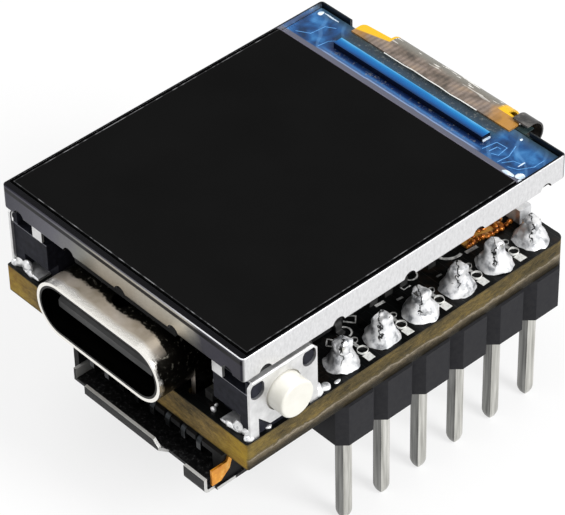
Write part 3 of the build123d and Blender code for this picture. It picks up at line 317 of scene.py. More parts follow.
def driver_silicon():
    """Bare silicon, diced and ground: a bright blue mirror on top, navy on the sawn sides."""
    material, node, coords = new_surface("silicon_diced_and_ground")
    place = coords["Object"]
    spot = on_board(node, place)
    facing = node("SeparateXYZ", [coords["Normal"]]).outputs
    streaks = node("Mapping", {"Vector": place, "Scale": (0.25, 1.2, 1.0)})
    ground = node("TexNoise", [streaks, per(0.45), 3.0])
    # Its back edge catches the light as a paler line
    across = node("MapRange", [spot["Y"], 8.43, 8.99])
    streaked = node("Math.MULTIPLY_ADD", [ground, 0.4, across])
    toned = node("Math.MULTIPLY", [streaked, 0.75])
    blues = node("ValToRGB", [toned], stops={
        0.19: "#04305f", 0.36: "#075090", 0.6: "#0e64a6", 0.76: "#187ab8", 0.9: "#5aa8d8",
    })
    flat = node("MapRange", [facing["Z"], 0.2, 0.8])
    end_surface(
        node, node("Mix", [flat, paint("#020b24"), blues]), node("MapRange", [ground, 0.0, 1.0, 0.3, 0.42]),
        Metallic=0.2, Specular_IOR_Level=0.2,
    )
    return material


def flex_film():
    """Polyimide film laminated over copper: smoky tan, orange near its ends, yellow at bare edges."""
    material, node, coords = new_surface("polyimide_laminated")
    place = coords["Object"]
    spot = on_board(node, place)
    clouds = node("TexNoise", [place, per(0.8), 6.0])
    tans = node("ValToRGB", [clouds], stops={
        0.34: "#4b423a", 0.44: "#6b5e53", 0.54: "#81736a", 0.66: "#93806e",
    })
    # Its traces run down it, a few to the millimetre
    traces = node("TexWave", {
        "Vector": place, "Scale": per(0.9), "Distortion": 1.2, "Detail": 3.0, "Detail Scale": 2.0,
    }, wave_type="BANDS", bands_direction="X").outputs["Fac"]
    lined = node("Mix", [
        0.3, tans, node("ValToRGB", [traces], stops={0.35: "#6a6058", 0.6: "#ffffff"}),
    ], blend_type="MULTIPLY")
    # Scratches and dust on the fold's crest
    long_marks = node("Mapping", {"Vector": place, "Scale": (0.35, 2.5, 1.0)})
    marks = node("TexNoise", [long_marks, per(0.35), 2.0, 0.4])
    scratch = node("MapRange", [marks, 0.62, 0.65])
    crest = node("MapRange", [spot["Y"], 10.7, 11.1])
    dusty = node("Math.MULTIPLY", [scratch, crest])
    greyed = node("Mix", [crest, lined, paint("#75726a")])
    scratched = node("Mix", [dusty, greyed, paint("#ece9e2")])

    wavy = node("Math.MULTIPLY_ADD", [clouds, 1.6, spot["X"]])
    along = node("MapRange", [wavy, -5.4, 6.2])
    orange = node("ValToRGB", [along], stops={
        0.0: "#e8e8e8", 0.06: "#c8c8c8", 0.13: "#303030", 0.2: "#000000", 0.82: "#000000", 0.9: "#f0f0f0",
    })
    ambered = node("Mix", [orange, scratched, paint("#b07c2c")])
    # Painted shade: the fold's far side turns away into a dark outline
    painted_far_shade = node("MapRange", [spot["Y"], 11.5, 11.68, 0.0, 0.85])
    far_shaded_film = node("Mix", [painted_far_shade, ambered, paint("#2f2d28")])
    # Yellow where the film has no copper under it: the left shoulder's back edge and the fold's right edge
    slanted = node("Math.MULTIPLY_ADD", [spot["X"], -0.24, spot["Y"]])
    lobe = node("MapRange", [slanted, 11.56, 11.66])
    left = node("Math.LESS_THAN", [spot["X"], -3.85])
    left_lobe = node("Math.MULTIPLY", [lobe, left])
    right_lobe = node("MapRange", [spot["X"], 3.55, 3.75])
    folded = node("Math.GREATER_THAN", [spot["Y"], 10.78])
    right_bare = node("Math.MULTIPLY", [right_lobe, folded])
    bare = node("Math.MAXIMUM", [left_lobe, right_bare])
    end_surface(
        node, node("Mix", [bare, far_shaded_film, paint("#e6b312")]),
        node("MapRange", [clouds, 0.0, 1.0, 0.25, 0.55]), (clouds, 0.02), Specular_IOR_Level=0.4,
    )
    return material


def drawn_port_steel():
    """Stainless steel, deep drawn: a polished mouth with a painted highlight, satin behind it, then painted
    black as shade under the display.
    """
    material, node, coords = new_surface("stainless_steel_deep_drawn")
    place = coords["Object"]
    spot = on_board(node, place)
    facing = node("SeparateXYZ", [coords["Normal"]]).outputs
    clouds = node("TexNoise", [place, per(1.2), 6.0])
    pits = node("TexNoise", [place, per(0.2), 4.0])
    satin = node("ValToRGB", [clouds], stops={
        0.3: "#a89c8c", 0.45: "#bfb4a6", 0.6: "#cdc3b8", 0.75: "#e0d8cc",
    })
    # A painted highlight: the top turns near-white along the mouth
    wavy = node("Math.MULTIPLY_ADD", [clouds, 0.5, spot["Y"]])
    mouth = node("MapRange", [wavy, -11.2, -11.42])
    painted_mouth_highlight = node("Mix", [mouth, satin, paint("#f3f0ea")])

    # Behind the mouth the top is painted black, with pale specks, as the display's shade, sooner towards
    # the right end
    right_end = node("MapRange", [spot["X"], 3.0, 4.2, 0.0, 0.35])
    shifted = node("Math.ADD", [spot["Y"], right_end])
    drifting = node("Math.MULTIPLY_ADD", [clouds, 0.9, shifted])
    frayed = node("Math.MULTIPLY_ADD", [pits, 0.4, drifting])
    under_display_shade = node("MapRange", [frayed, -10.26, -10.12])
    upward = node("MapRange", [facing["Z"], -0.1, 0.3])
    on_top = node("Math.MULTIPLY", [under_display_shade, upward])
    # Its right side is dark almost up to the mouth, as dirt and painted shade
    rightward = node("MapRange", [facing["X"], 0.35, 0.7])
    behind_mouth = node("MapRange", [frayed, -10.9, -10.7])
    on_side = node("Math.MULTIPLY", [rightward, behind_mouth])
    painted_shade_mask = node("Math.MAXIMUM", [on_top, on_side])
    painted_shade_and_dirt = node("ValToRGB", [pits], stops={0.5: "#0c0a06", 0.62: "#1d1b17", 0.7: "#77746a"})
    outside = node("Mix", [painted_shade_mask, painted_mouth_highlight, painted_shade_and_dirt])

    # Painted shade: the inside, which faces the middle of the tube, is dark
    height = node("Math.SUBTRACT", [spot["Z"], PORT_MIDDLE])
    down = node("Math.MULTIPLY", [height, facing["Z"]])
    inward = node("Math.MULTIPLY", [spot["X"], facing["X"]])
    weighed = node("Math.MULTIPLY_ADD", [inward, 0.3, down])
    inner = node("Math.LESS_THAN", [weighed, -0.05])
    # So is the inner half of the mouth's rolled edge, in the same painted shade
    aside = node("Math.ABSOLUTE", [spot["X"]])
    past_straight = node("Math.SUBTRACT", [aside, PORT_STRAIGHT])
    beyond = node("Math.MAXIMUM", [past_straight, 0.0])
    from_core = node("VectorMath.LENGTH", [node("CombineXYZ", {"X": beyond, "Z": height})])
    deep = node("Math.LESS_THAN", [from_core, 1.42])
    painted_inside_shade = node("Math.MAXIMUM", [inner, deep])
    end_surface(
        node, node("Mix", [painted_inside_shade, outside, paint("#12110f")]),
        node("MapRange", [mouth, 0.0, 1.0, 0.34, 0.24]), (pits, 0.004), Metallic=0.9,
    )
    return material


def shaded_socket_steel():
    """Steel, stamped: in painted shade under the board a sandy dark grey, with painted highlights along the
    cut edges of its lips.
    """
    material, node, coords = new_surface("steel_stamped_in_painted_shade")
    place = coords["Object"]
    spot = on_board(node, place)
    facing = node("SeparateXYZ", [coords["Normal"]]).outputs
    sand = node("TexNoise", [place, per(0.16), 4.0, 0.7])
    # Painted shade: the steel lies under the board, so it is a sandy dark grey, darker still on its front
    # faces
    dark = node("ValToRGB", [sand], stops={
        0.35: "#060607", 0.5: "#141415", 0.62: "#333334", 0.7: "#6a6a6a",
    })
    front = node("MapRange", [facing["Y"], -0.4, -0.7])
    front_shaded_grey = node("Mix", [front, dark, paint("#0d0d0e")])
    # Painted highlights: the cut edges of the lips that face up, and those in front that face right, are
    # pale
    raised = node("Math.GREATER_THAN", [spot["Z"], SOCKET_FLOOR + 0.2])
    top = node("Math.GREATER_THAN", [facing["Z"], 0.6])
    top_edge_highlight = node("Math.MULTIPLY", [raised, top])
    side = node("Math.GREATER_THAN", [facing["X"], 0.6])
    fore = node("Math.LESS_THAN", [spot["Y"], -9.9])
    side_edge_highlight = node("Math.MULTIPLY", [side, fore])
    cut = node("Math.MAXIMUM", [top_edge_highlight, side_edge_highlight])
    end_surface(
        node, node("Mix", [cut, front_shaded_grey, paint("#c6c6c4")]), node("MapRange", [sand, 0.0, 1.0, 0.3, 0.6]),
        (sand, 0.012), Metallic=0.5, Specular_IOR_Level=0.3,
    )
    return material


def moulded_switch_body():
    """Nylon, moulded: blue-black, with a hairline of light along the ridge of its shoulder."""
    material, node, coords = new_surface("nylon_moulded")
    place = coords["Object"]
    spot = on_board(node, place)
    facing = node("SeparateXYZ", [coords["Normal"]]).outputs
    grain = node("TexNoise", [place, per(0.3), 4.0])
    dark = node("ValToRGB", [grain], stops={0.3: "#1c1d23", 0.7: "#2b2c35"})
    ridge = node("Math.COMPARE", [spot["Z"], BODY_RIDGE, 0.045])
    front = node("Math.LESS_THAN", [facing["Y"], -0.6])
    lit = node("Math.MULTIPLY", [ridge, front])
    end_surface(
        node, node("Mix", [lit, dark, paint("#8b8c94")]), 0.5, (grain, 0.004), Specular_IOR_Level=0.06,
    )
    return material


def bonded_polariser():
    """Polariser film, bonded: an even black, with a broken hairline of light inside its black margin."""
    material, node, coords = new_surface("polariser_film_bonded")
    place = coords["Object"]
    spot = on_board(node, place)
    dust = node("TexNoise", [place, per(0.5), 5.0])
    broad = node("TexNoise", [place, per(4.0), 2.0])
    face = node("ValToRGB", [broad], stops={0.3: "#121212", 0.7: "#141414"})

    # How far a point lies inside the film's sides and front
    aside = node("Math.ABSOLUTE", [spot["X"]])
    from_side = node("Math.SUBTRACT", [PICTURE_EDGE, aside])
    from_front = node("Math.SUBTRACT", [spot["Y"], PICTURE_FRONT])
    inside = node("Math.MINIMUM", [from_side, from_front])
    line = node("Math.COMPARE", [inside, 0.14, 0.025])
    present = node("MapRange", [dust, 0.46, 0.64, 0.06, 0.5])
    broken = node("Math.MULTIPLY", [line, present])
    margin = node("Math.LESS_THAN", [inside, 0.12])
    rimmed = node("Mix", [margin, face, paint("#040404")])
    end_surface(
        node, node("Mix", [broken, rimmed, paint("#a4a4a6")]),
        node("MapRange", [broad, 0.0, 1.0, 0.4, 0.5]), Specular_IOR_Level=0.0,
    )
    return material


def solder_with_painted_reflection():
    """Tin solder, melted onto a pin: bright, with a painted dark reflection down each fillet."""
    material, node, coords = new_surface("tin_solder_wicked")
    place = coords["Object"]
    spot = on_board(node, place)
    lumps = node("TexNoise", [place, per(0.4), 5.0])
    bright = node("ValToRGB", [lumps], stops={0.34: "#8d8f92", 0.46: "#d6d7d9", 0.6: "#ececec"})
    # The painted dark reflection stands upright through each pin, slanting across the row
    out = node("Math.SUBTRACT", [node("Math.ABSOLUTE", [spot["X"]]), PIN_ROW])
    first = FIRST_PIN + PIN_PITCH / 2
    from_first = node("Math.SUBTRACT", [first, spot["Y"]])
    in_step = node("Math.MODULO", [from_first, PIN_PITCH])
    along = node("Math.SUBTRACT", [in_step, PIN_PITCH / 2])
    skew = node("Math.MULTIPLY_ADD", [along, -1.1, out])
    ragged = node("Math.MULTIPLY_ADD", [lumps, 1.5, skew])
    near = node("Math.COMPARE", [ragged, 0.66, 0.06])
    height = node("MapRange", [spot["Z"], 0.3, 0.45])
    painted_dark_reflection = node("Math.MULTIPLY", [near, height])
    end_surface(
        node, node("Mix", [painted_dark_reflection, bright, paint("#1a1a1a")]),
        node("MapRange", [lumps, 0.0, 1.0, 0.25, 0.45]), (lumps, 0.03), Metallic=0.35,
    )
    return material


def drawn_pin_brass():
    """Brass, drawn square and nickel plated: pale on the faces that face along x and grey on the others, as
    painted light and shade.
    """
    material, node, coords = new_surface("brass_drawn_and_nickel_plated")
    facing = node("SeparateXYZ", [coords["Normal"]]).outputs
    drawn = node("Mapping", {"Vector": coords["Object"], "Scale": (3, 3, 0.15)})
    lines = node("TexNoise", [drawn, per(0.4), 5.0])
    pale = node("ValToRGB", [lines], stops={0.3: "#a3a29c", 0.7: "#dddcd6"})
    grey = node("ValToRGB", [lines], stops={0.3: "#5c5c5a", 0.7: "#8f8f8c"})
    # Painted light and shade: the faces along x are pale and the others grey
    painted_light_faces = node("MapRange", [node("Math.ABSOLUTE", [facing["X"]]), 0.5, 0.8])
    end_surface(
        node, node("Mix", [painted_light_faces, grey, pale]), node("MapRange", [lines, 0.0, 1.0, 0.22, 0.42]),
        (lines, 0.004), Metallic=0.85,
    )
    return material


FINISHES = {
    "laminate": masked_laminate(),
    "frame_steel": pressed_frame_steel(),
    "ledge_glass": ledge_glass(),
    "driver": driver_silicon(),
    "flex": flex_film(),
    "port_steel": drawn_port_steel(),
    "socket_steel": shaded_socket_steel(),
    "switch_plastic": moulded_switch_body(),
    "joint_solder": solder_with_painted_reflection(),
    "picture_face": bonded_polariser(),
    "pin_metal": drawn_pin_brass(),
    # PBT, moulded: charcoal with a fine grain that greys the lit faces
    "header_plastic": mottled(
        "pbt_moulded", {0.3: "#28282b", 0.7: "#323234"}, 0.25, (0.5, 0.6), 0.004,
        Specular_IOR_Level=0.06),
    # Tin solder, melted: bright and rippled
    "solder": mottled(
        "tin_solder_melted", {0.32: "#b9bbbe", 0.45: "#e6e7e9", 0.6: "#f4f4f4"}, 0.35, (0.22, 0.4),
        0.03, Metallic=0.45),
    # Float glass, cut: a thin mauve-grey rim round the picture
    "front_glass": mottled(
        "float_glass_cut", {0.3: "#55525f", 0.7: "#6f6c79"}, 1.2, (0.2, 0.3), Specular_IOR_Level=0.2),
    # Polariser film, cut: a dark grey with a slight sheen
    "rear_film": mottled("polariser_film_cut", {0.3: "#22262a", 0.7: "#30353a"}, 2.0, (0.3, 0.4)),
    # Polyester film, silvered: a soft mirror
    "reflector": mottled(
        "polyester_film_silvered", {0.3: "#c8cccf", 0.7: "#e2e5e7"}, 2.0, (0.12, 0.2), Metallic=0.8),
    # Acrylic, moulded: pale, glossy and even
    "guide": mottled("acrylic_moulded", {0.3: "#c9d2d6", 0.7: "#dde4e7"}, 1.0, (0.06, 0.12)),
    # Polyester film, cut: milky white and dull
    "films": mottled("polyester_film_cut", {0.3: "#cfd1d2", 0.7: "#e4e5e6"}, 1.0, (0.35, 0.5)),
    # Polycarbonate, moulded black: it shows as shadow in the frame's notches
    "tray": mottled(
        "polycarbonate_moulded", {0.3: "#070708", 0.7: "#0c0c0d"}, 0.6, (0.5, 0.6), 0.003,
        Specular_IOR_Level=0.15),
    # Epoxy, cast over the diodes: small plain yellow blocks
    "leds": mottled("epoxy_cast_yellow", {0.3: "#c8b040", 0.7: "#dccb6a"}, 0.3, (0.25, 0.35)),
    # Black polyimide, laminated: satin, with grey patches painted as highlights where it curls
    "dark_flex": mottled(
        "polyimide_black_laminated", {0.35: "#141414", 0.5: "#2e2c2a", 0.66: "#6e6a66"}, 0.8,
        (0.3, 0.45), 0.01),
    # Liquid crystal polymer, moulded: black and slightly fibrous
    "black_plastic": mottled(
        "liquid_crystal_polymer_moulded", {0.3: "#060607", 0.7: "#0d0d0e"}, 0.4, (0.5, 0.65), 0.006,
        Specular_IOR_Level=0.15),
    # The same plastic with its mould's gloss: black, with grey glints that run across it
    "port_core": mottled(
        "liquid_crystal_polymer_glazed", {0.3: "#050505", 0.55: "#0c0c0c", 0.72: "#202020"}, 0.35,
        (0.3, 0.5), 0.006, (0.4, 1, 1), Specular_IOR_Level=0.4),
    # Phosphor bronze, stamped and gilt: warm orange gold with pale glints
    "gilt": mottled(
        "phosphor_bronze_stamped_and_gilt", {0.3: "#c4761a", 0.55: "#e8a035", 0.75: "#f8cf7c"}, 0.5,
        (0.25, 0.4), 0.006, Metallic=0.6),
    # Phosphor bronze, stamped: the card contacts, painted dark as the shade under the board, with a
    # brighter curl
    "contacts": mottled(
        "phosphor_bronze_stamped", {0.3: "#101214", 0.7: "#303336"}, 0.3, (0.25, 0.4), 0.003,
        Metallic=0.9),
    # Stainless steel, stamped: pale satin in broad soft patches
    "switch_steel": mottled(
        "stainless_steel_stamped", {0.3: "#c9c9c9", 0.7: "#e6e6e6"}, 0.7, (0.32, 0.46), 0.006,
        Metallic=0.85),
    # Acetal, moulded: ivory with a soft gloss
    "plunger": mottled("acetal_moulded", {0.3: "#e0ded4", 0.7: "#ebe9e1"}, 1.2, (0.34, 0.46), 0.003),
    # Spring steel, stamped: plain grey and shiny
    "dome": mottled(
        "spring_steel_stamped", {0.3: "#a8a8aa", 0.7: "#c8c8ca"}, 0.8, (0.25, 0.35), Metallic=1.0),
    # Brass, tinned: pale and slightly frosted
    "terminals": mottled(
        "brass_tinned", {0.3: "#cbccce", 0.7: "#f0f1f2"}, 0.4, (0.3, 0.5), 0.01, Metallic=0.7),
    # Tin over nickel, matt: ends that stay in the display's shade, painted dark grey as that shade
    "shade_painted_ends": mottled(
        "tin_plated_matt_in_painted_shade", {0.3: "#1f1f1f", 0.7: "#3a3a39"}, 0.3, (0.5, 0.65), 0.006,
        Specular_IOR_Level=0.2),
    # Epoxy, moulded: near-black and matt, with a fine grain
    "chip": mottled("epoxy_moulded", {0.3: "#0f0f10", 0.7: "#171719"}, 0.3, (0.5, 0.62), 0.005),
    # Nickel iron, brazed on as a lid: warm pale metal, nearly even
    "crystal": mottled(
        "nickel_iron_lid_brazed", {0.3: "#a9a69e", 0.7: "#c6c3bb"}, 0.5, (0.25, 0.36), Metallic=1.0),
    # Barium titanate, fired: olive brown and matt
    "capacitor": mottled(
        "barium_titanate_fired", {0.3: "#34332b", 0.7: "#4b493d"}, 0.4, (0.45, 0.6), 0.006),
    # Alumina, fired: off-white with a slight gloss
    "antenna": mottled("alumina_fired", {0.3: "#d9dad6", 0.7: "#ecece8"}, 0.5, (0.3, 0.42), 0.004),
    # Polyurethane foam, cut: open black cells that hold the light
    "foam": mottled(
        "polyurethane_foam_cut", {0.35: "#060606", 0.6: "#161616"}, 0.12, (0.8, 0.95), 0.05),
    # Epoxy ink, screen printed: chalky white, thin and slightly broken
    "print": mottled(
        "epoxy_ink_screen_printed", {0.3: "#c4c4c0", 0.55: "#e6e6e2"}, 0.15, (0.6, 0.7), 0.01),
    "grey_print": mottled(
        "epoxy_ink_worn", {0.3: "#5a5a59", 0.5: "#9a9a98", 0.7: "#c4c4c2"}, 0.2, (0.6, 0.7), 0.01),
    # Copper, plated and tinned over in places: brown-orange with pale glints
    "copper": mottled(
        "copper_plated", {0.35: "#5d2c0a", 0.5: "#a35a18", 0.6: "#c9812f", 0.72: "#e8c59a"}, 0.35,
        (0.18, 0.35), 0.02, Metallic=0.6),
    # Silicone, cured: dabs of clear-white sealant on the glass
    "sealant": mottled("silicone_cured", {0.3: "#a9c6e2", 0.6: "#e9f2f8"}, 0.3, (0.2, 0.35), 0.02),
    # Chromium, etched on glass: fine lines hardly paler than the blue they lie on
    "track": mottled(
        "chromium_etched", {0.3: "#3f7db8", 0.6: "#6aa4dc"}, 0.3, (0.25, 0.35), 0.005,
        Specular_IOR_Level=0.2),
    # Acrylic adhesive tape: dark teal, dull
    "tape": mottled(
        "acrylic_tape_cut", {0.3: "#1d2a2c", 0.55: "#2c3a3a", 0.75: "#475552"}, 0.5, (0.5, 0.7),
        0.01, Specular_IOR_Level=0.15),
}

NODE_FINISHES = {
    "circuit_board": "laminate",
    "display_frame": "frame_steel",
    "backlight_tray": "tray",
    "reflector_film": "reflector",
    "light_guide": "guide",
    "diffuser_films": "films",
    "rear_polariser": "rear_film",
    "backlight_leds": "leds",
    "back_glass": "ledge_glass",
    "front_glass": "front_glass",
    "front_polariser": "picture_face",
    "driver_chip": "driver",
    "display_flex": "flex",
    "backlight_flex": "dark_flex",
    "port_shell": "port_steel",
    "port_core": "port_core",
    "port_contacts": "contacts",
    "card_socket_shell": "socket_steel",
    "card_socket_housing": "black_plastic",
    "card_socket_contacts": "contacts",
    "card_socket_spring": "gilt",
    "main_chip": "chip",
    "crystal": "crystal",
    "regulator": "chip",
    "regulator_leads": "shade_painted_ends",
    "chip_capacitors": "capacitor",
    "capacitor_ends": "shade_painted_ends",
    "chip_resistors": "chip",
    "resistor_ends": "shade_painted_ends",
    "chip_antenna": "antenna",
    "antenna_ends": "terminals",
    "switch_foam_pads": "foam",
    "port_foam_pad": "foam",
    "display_foam_block": "foam",
}
for side in ("right", "left"):
    NODE_FINISHES[f"{side}_header_insulator"] = "header_plastic"
    NODE_FINISHES[f"{side}_header_pins"] = "pin_metal"
    NODE_FINISHES[f"{side}_header_solder"] = "solder"
    NODE_FINISHES[f"{side}_switch_body"] = "switch_plastic"
    NODE_FINISHES[f"{side}_switch_cover"] = "switch_steel"
    NODE_FINISHES[f"{side}_switch_plunger"] = "plunger"
    NODE_FINISHES[f"{side}_switch_dome"] = "dome"
    NODE_FINISHES[f"{side}_switch_terminals"] = "terminals"


def dress_nodes():
    """Gives every node of the model its finish."""
    for name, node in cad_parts.items():
        node.data.materials.clear()
        node.data.materials.append(FINISHES[NODE_FINISHES[name]])


# Pieces

def fasten(piece, replaced=()):
    """Fixes a finished piece to the board and in place of its nodes."""
    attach(piece, "board")
    for node in replaced:
        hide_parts(node)
    return piece


def piece_from(shape, name, finish):
    """A piece from a bmesh in the board's millimetres."""
    bmesh.ops.remove_doubles(shape, verts=shape.verts, dist=1e-4)
    bmesh.ops.recalc_face_normals(shape, faces=shape.faces)
    for vert in shape.verts:
        vert.co = at(*vert.co)
    mesh = bpy.data.meshes.new(name)
    shape.to_mesh(mesh)
    shape.free()
    for face in mesh.polygons:
        face.use_smooth = True
    mesh.set_sharp_from_angle(angle=math.radians(38))
    mesh.materials.append(FINISHES[finish])
    piece = bpy.data.objects.new(name, mesh)
    bpy.context.collection.objects.link(piece)
    return piece


def new_tree(name, sizes):
    """An empty geometry tree whose named sizes are inputs, what adds nodes to it, and those inputs."""
    tree = bpy.data.node_groups.new(name, "GeometryNodeTree")
    tree.interface.new_socket("Geometry", in_out="OUTPUT", socket_type="NodeSocketGeometry")
    kinds = {int: "NodeSocketInt", float: "NodeSocketFloat", tuple: "NodeSocketVector"}
    for label, value in sizes.items():
        kind = kinds.get(type(value), "NodeSocketMaterial")
        tree.interface.new_socket(label, in_out="INPUT", socket_type=kind)
    return tree, partial(add_node, tree), tree.nodes.new("NodeGroupInput").outputs


def end_tree(node, geometry, material):
    """Every tree ends with its instances made real and its material set."""
    smooth = node("GeometryNodeSetShadeSmooth", {"Geometry": geometry})
    real = node("GeometryNodeRealizeInstances", {"Geometry": smooth})
    dressed = node("GeometryNodeSetMaterial", {"Geometry": real, "Material": material})
    node("NodeGroupOutput", {"Geometry": dressed})


def grow(name, tree, sizes):
    """Runs a geometry tree with its sizes, and keeps the result as a plain mesh."""
    piece = bpy.data.objects.new(name, bpy.data.meshes.new(name))
    bpy.context.collection.objects.link(piece)
    modifier = piece.modifiers.new(name, "NODES")
    modifier.node_group = tree
    for item in tree.interface.items_tree:
        if item.in_out == "INPUT":
            modifier[item.identifier] = sizes[item.name]
    bpy.context.view_layer.update()
    depsgraph = bpy.context.evaluated_depsgraph_get()
    grown = bpy.data.meshes.new_from_object(piece.evaluated_get(depsgraph))
    piece.modifiers.remove(modifier)
    piece.data = grown
    grown.set_sharp_from_angle(angle=math.radians(40))
    return piece


def rippled(node, geometry, grain, depth, seed):
    """Moves a mesh's points by a fixed noise, so that no two lumps are alike."""
    rough = node("TexNoise", {
        "Vector": node("GeometryNodeInputPosition"), "W": seed, "Scale": grain, "Detail": 2.0,
    }, noise_dimensions="4D").outputs["Color"]
    centred = node("VectorMath.SUBTRACT", [rough, (0.5, 0.5, 0.5)])
    scaled = node("VectorMath.SCALE", [centred, depth])
    return node("GeometryNodeSetPosition", {"Geometry": geometry, "Offset": scaled})


def in_row(node, size, piece):
    """Copies of a piece down the header, one to each step."""
    row = node("GeometryNodeMeshLine", {
        "Count": size["Count"], "Start Location": size["First Place"], "Offset": size["Step"],
    })
    return node("GeometryNodeInstanceOnPoints", {"Points": row, "Instance": piece})


def solder_joint_tree(sizes):
    """A row of fillets, each a flared cone that climbs its pin and caps the tip."""
    tree, node, size = new_tree("solder_joints", sizes)
    cone = node("GeometryNodeMeshCylinder", {
        "Vertices": 32, "Side Segments": 14, "Fill Segments": 3, "Radius": 1.0, "Depth": 1.0,
    })
    spot = node("SeparateXYZ", [node("GeometryNodeInputPosition")]).outputs
    rise = node("Math.ADD", [spot["Z"], 0.5])
    fall = node("Math.SUBTRACT", [1.0, rise])
    flare = node("Math.POWER", [fall, size["Flare"]])
    spread = node("Math.SUBTRACT", [size["Foot Radius"], size["Neck Radius"]])
    radius = node("Math.MULTIPLY_ADD", [flare, spread, size["Neck Radius"]])
    flared = node("CombineXYZ", [
        node("Math.MULTIPLY", [spot["X"], radius]), node("Math.MULTIPLY", [spot["Y"], radius]),
        node("Math.MULTIPLY", [rise, size["Neck Height"]]),
    ])
    fillet = node("GeometryNodeSetPosition", {"Geometry": cone, "Position": flared})
    box = node("GeometryNodeMeshCube", {
        "Vertices X": 3, "Vertices Y": 3, "Vertices Z": 3, "Size": size["Tip Size"],
    })
    rounded = node("GeometryNodeSubdivisionSurface", {"Mesh": box, "Level": 3})
    tip = node("GeometryNodeTransform", {
        "Geometry": rounded, "Translation": size["Tip Middle"], "Rotation": (0.0, 0.0, 0.12),
    })
    joint = node("GeometryNodeJoinGeometry")
    tree.links.new(fillet.outputs["Geometry"], joint.inputs["Geometry"])
    tree.links.new(tip.outputs["Geometry"], joint.inputs["Geometry"])
    joints = in_row(node, size, joint)
    real = node("GeometryNodeRealizeInstances", {"Geometry": joints})
    lumpy = rippled(node, real, size["Lump Scale"], size["Lump Depth"], size["Seed"])
    end_tree(node, lumpy, size["Material"])
    return tree


def make_solder_joints():
    """Six joints on each row, in place of the model's plain ones."""
    sizes = {
        "Count": PINS, "First Place": (0.0, 0.0, 0.0), "Step": (0.0, -PIN_PITCH * MM, 0.0),
        "Foot Radius": 0.94 * MM, "Neck Radius": 0.36 * MM, "Neck Height": 1.0 * MM, "Flare": 1.2,
        "Tip Size": (0.84 * MM, 0.84 * MM, 0.86 * MM), "Tip Middle": (0.0, 0.0, 0.92 * MM),
        "Lump Scale": per(0.7), "Lump Depth": 0.55 * MM, "Seed": 3.0, "Material": FINISHES["joint_solder"],
    }
    tree = solder_joint_tree(sizes)
    for side, sign in (("right", 1), ("left", -1)):
        sizes["First Place"] = tuple(at(sign * PIN_ROW, FIRST_PIN, 0.0))
        sizes["Seed"] = 3.0 + sign
        joints = grow(f"{side}_solder_joints", tree, sizes)
        fasten(joints, [f"{side}_header_solder"])


def pin_tree(sizes):
    """A row of square pins with softened corners, their lower ends rounded like bullets."""
    tree, node, size = new_tree("header_pins", sizes)
    bar = node("GeometryNodeMeshCube", {
        "Vertices X": 6, "Vertices Y": 6, "Vertices Z": 90, "Size": size["Pin Size"],
    })
    spot = node("SeparateXYZ", [node("GeometryNodeInputPosition")]).outputs
    half = node("Math.MULTIPLY", [node("SeparateXYZ", [size["Pin Size"]]).outputs["Z"], 0.5])
    from_end = node("Math.ADD", [spot["Z"], half])
    nearness = node("MapRange", [from_end, size["Tip Length"], 0.0, 0.0, 0.94])
    squared = node("Math.POWER", [nearness, 2.2])
    round_part = node("Math.SUBTRACT", [1.0, squared])
    width = node("Math.POWER", [round_part, 0.5])
    # A pin's corners are drawn in a little: the further out on both sides, the more
    both = node("Math.MULTIPLY", [spot["X"], spot["Y"]])
    out = node("Math.ABSOLUTE", [both])
    sharp = node("Math.POWER", [node("Math.MULTIPLY", [out, size["Corner Share"]]), 4.0])
    slim = node("Math.MULTIPLY_ADD", [sharp, -0.1, width])
    moved = node("CombineXYZ", [
        node("Math.MULTIPLY", [spot["X"], slim]), node("Math.MULTIPLY", [spot["Y"], slim]), spot["Z"],
    ])
    pin = node("GeometryNodeSetPosition", {"Geometry": bar, "Position": moved})
    pins = in_row(node, size, pin)
    end_tree(node, pins, size["Material"])
    return tree


def make_pins():
    """Six pins on each side, in place of the model's plain ones."""
    width = PIN_WIDTH * MM
    sizes = {
        "Count": PINS, "First Place": (0.0, 0.0, 0.0), "Step": (0.0, -PIN_PITCH * MM, 0.0),
        "Pin Size": (width, width, (PIN_TOP - PIN_TIP) * MM), "Tip Length": 0.62 * MM,
        "Corner Share": 4 / width ** 2, "Material": FINISHES["pin_metal"],
    }
    tree = pin_tree(sizes)
    for side, sign in (("right", 1), ("left", -1)):
        sizes["First Place"] = tuple(at(sign * PIN_ROW, FIRST_PIN, (PIN_TOP + PIN_TIP) / 2))
        fasten(grow(f"{side}_pins", tree, sizes), [f"{side}_header_pins"])


def print_mark_tree(sizes):
    """A row of marks, each a flat ring with a bar beside it."""
    tree, node, size = new_tree("print_marks", sizes)
    outline = node("GeometryNodeCurvePrimitiveCircle", {"Resolution": 24, "Radius": size["Ring Radius"]})
    nib = node("GeometryNodeCurvePrimitiveQuadrilateral", {
        "Width": size["Line Height"], "Height": size["Line Width"],
    })
    ring = node("GeometryNodeCurveToMesh", {"Curve": outline, "Profile Curve": nib, "Fill Caps": True})
    bar = node("GeometryNodeMeshCube", {"Size": size["Bar Size"]})
    beside = node("GeometryNodeTransform", {"Geometry": bar, "Translation": size["Bar Place"]})
    mark = node("GeometryNodeJoinGeometry")
    tree.links.new(ring.outputs["Mesh"], mark.inputs["Geometry"])
    tree.links.new(beside.outputs["Geometry"], mark.inputs["Geometry"])
    marks = in_row(node, size, mark)
    real = node("GeometryNodeRealizeInstances", {"Geometry": marks})
    worn = rippled(node, real, size["Wear Scale"], size["Wear Depth"], 2.0)
    end_tree(node, worn, size["Material"])
    return tree


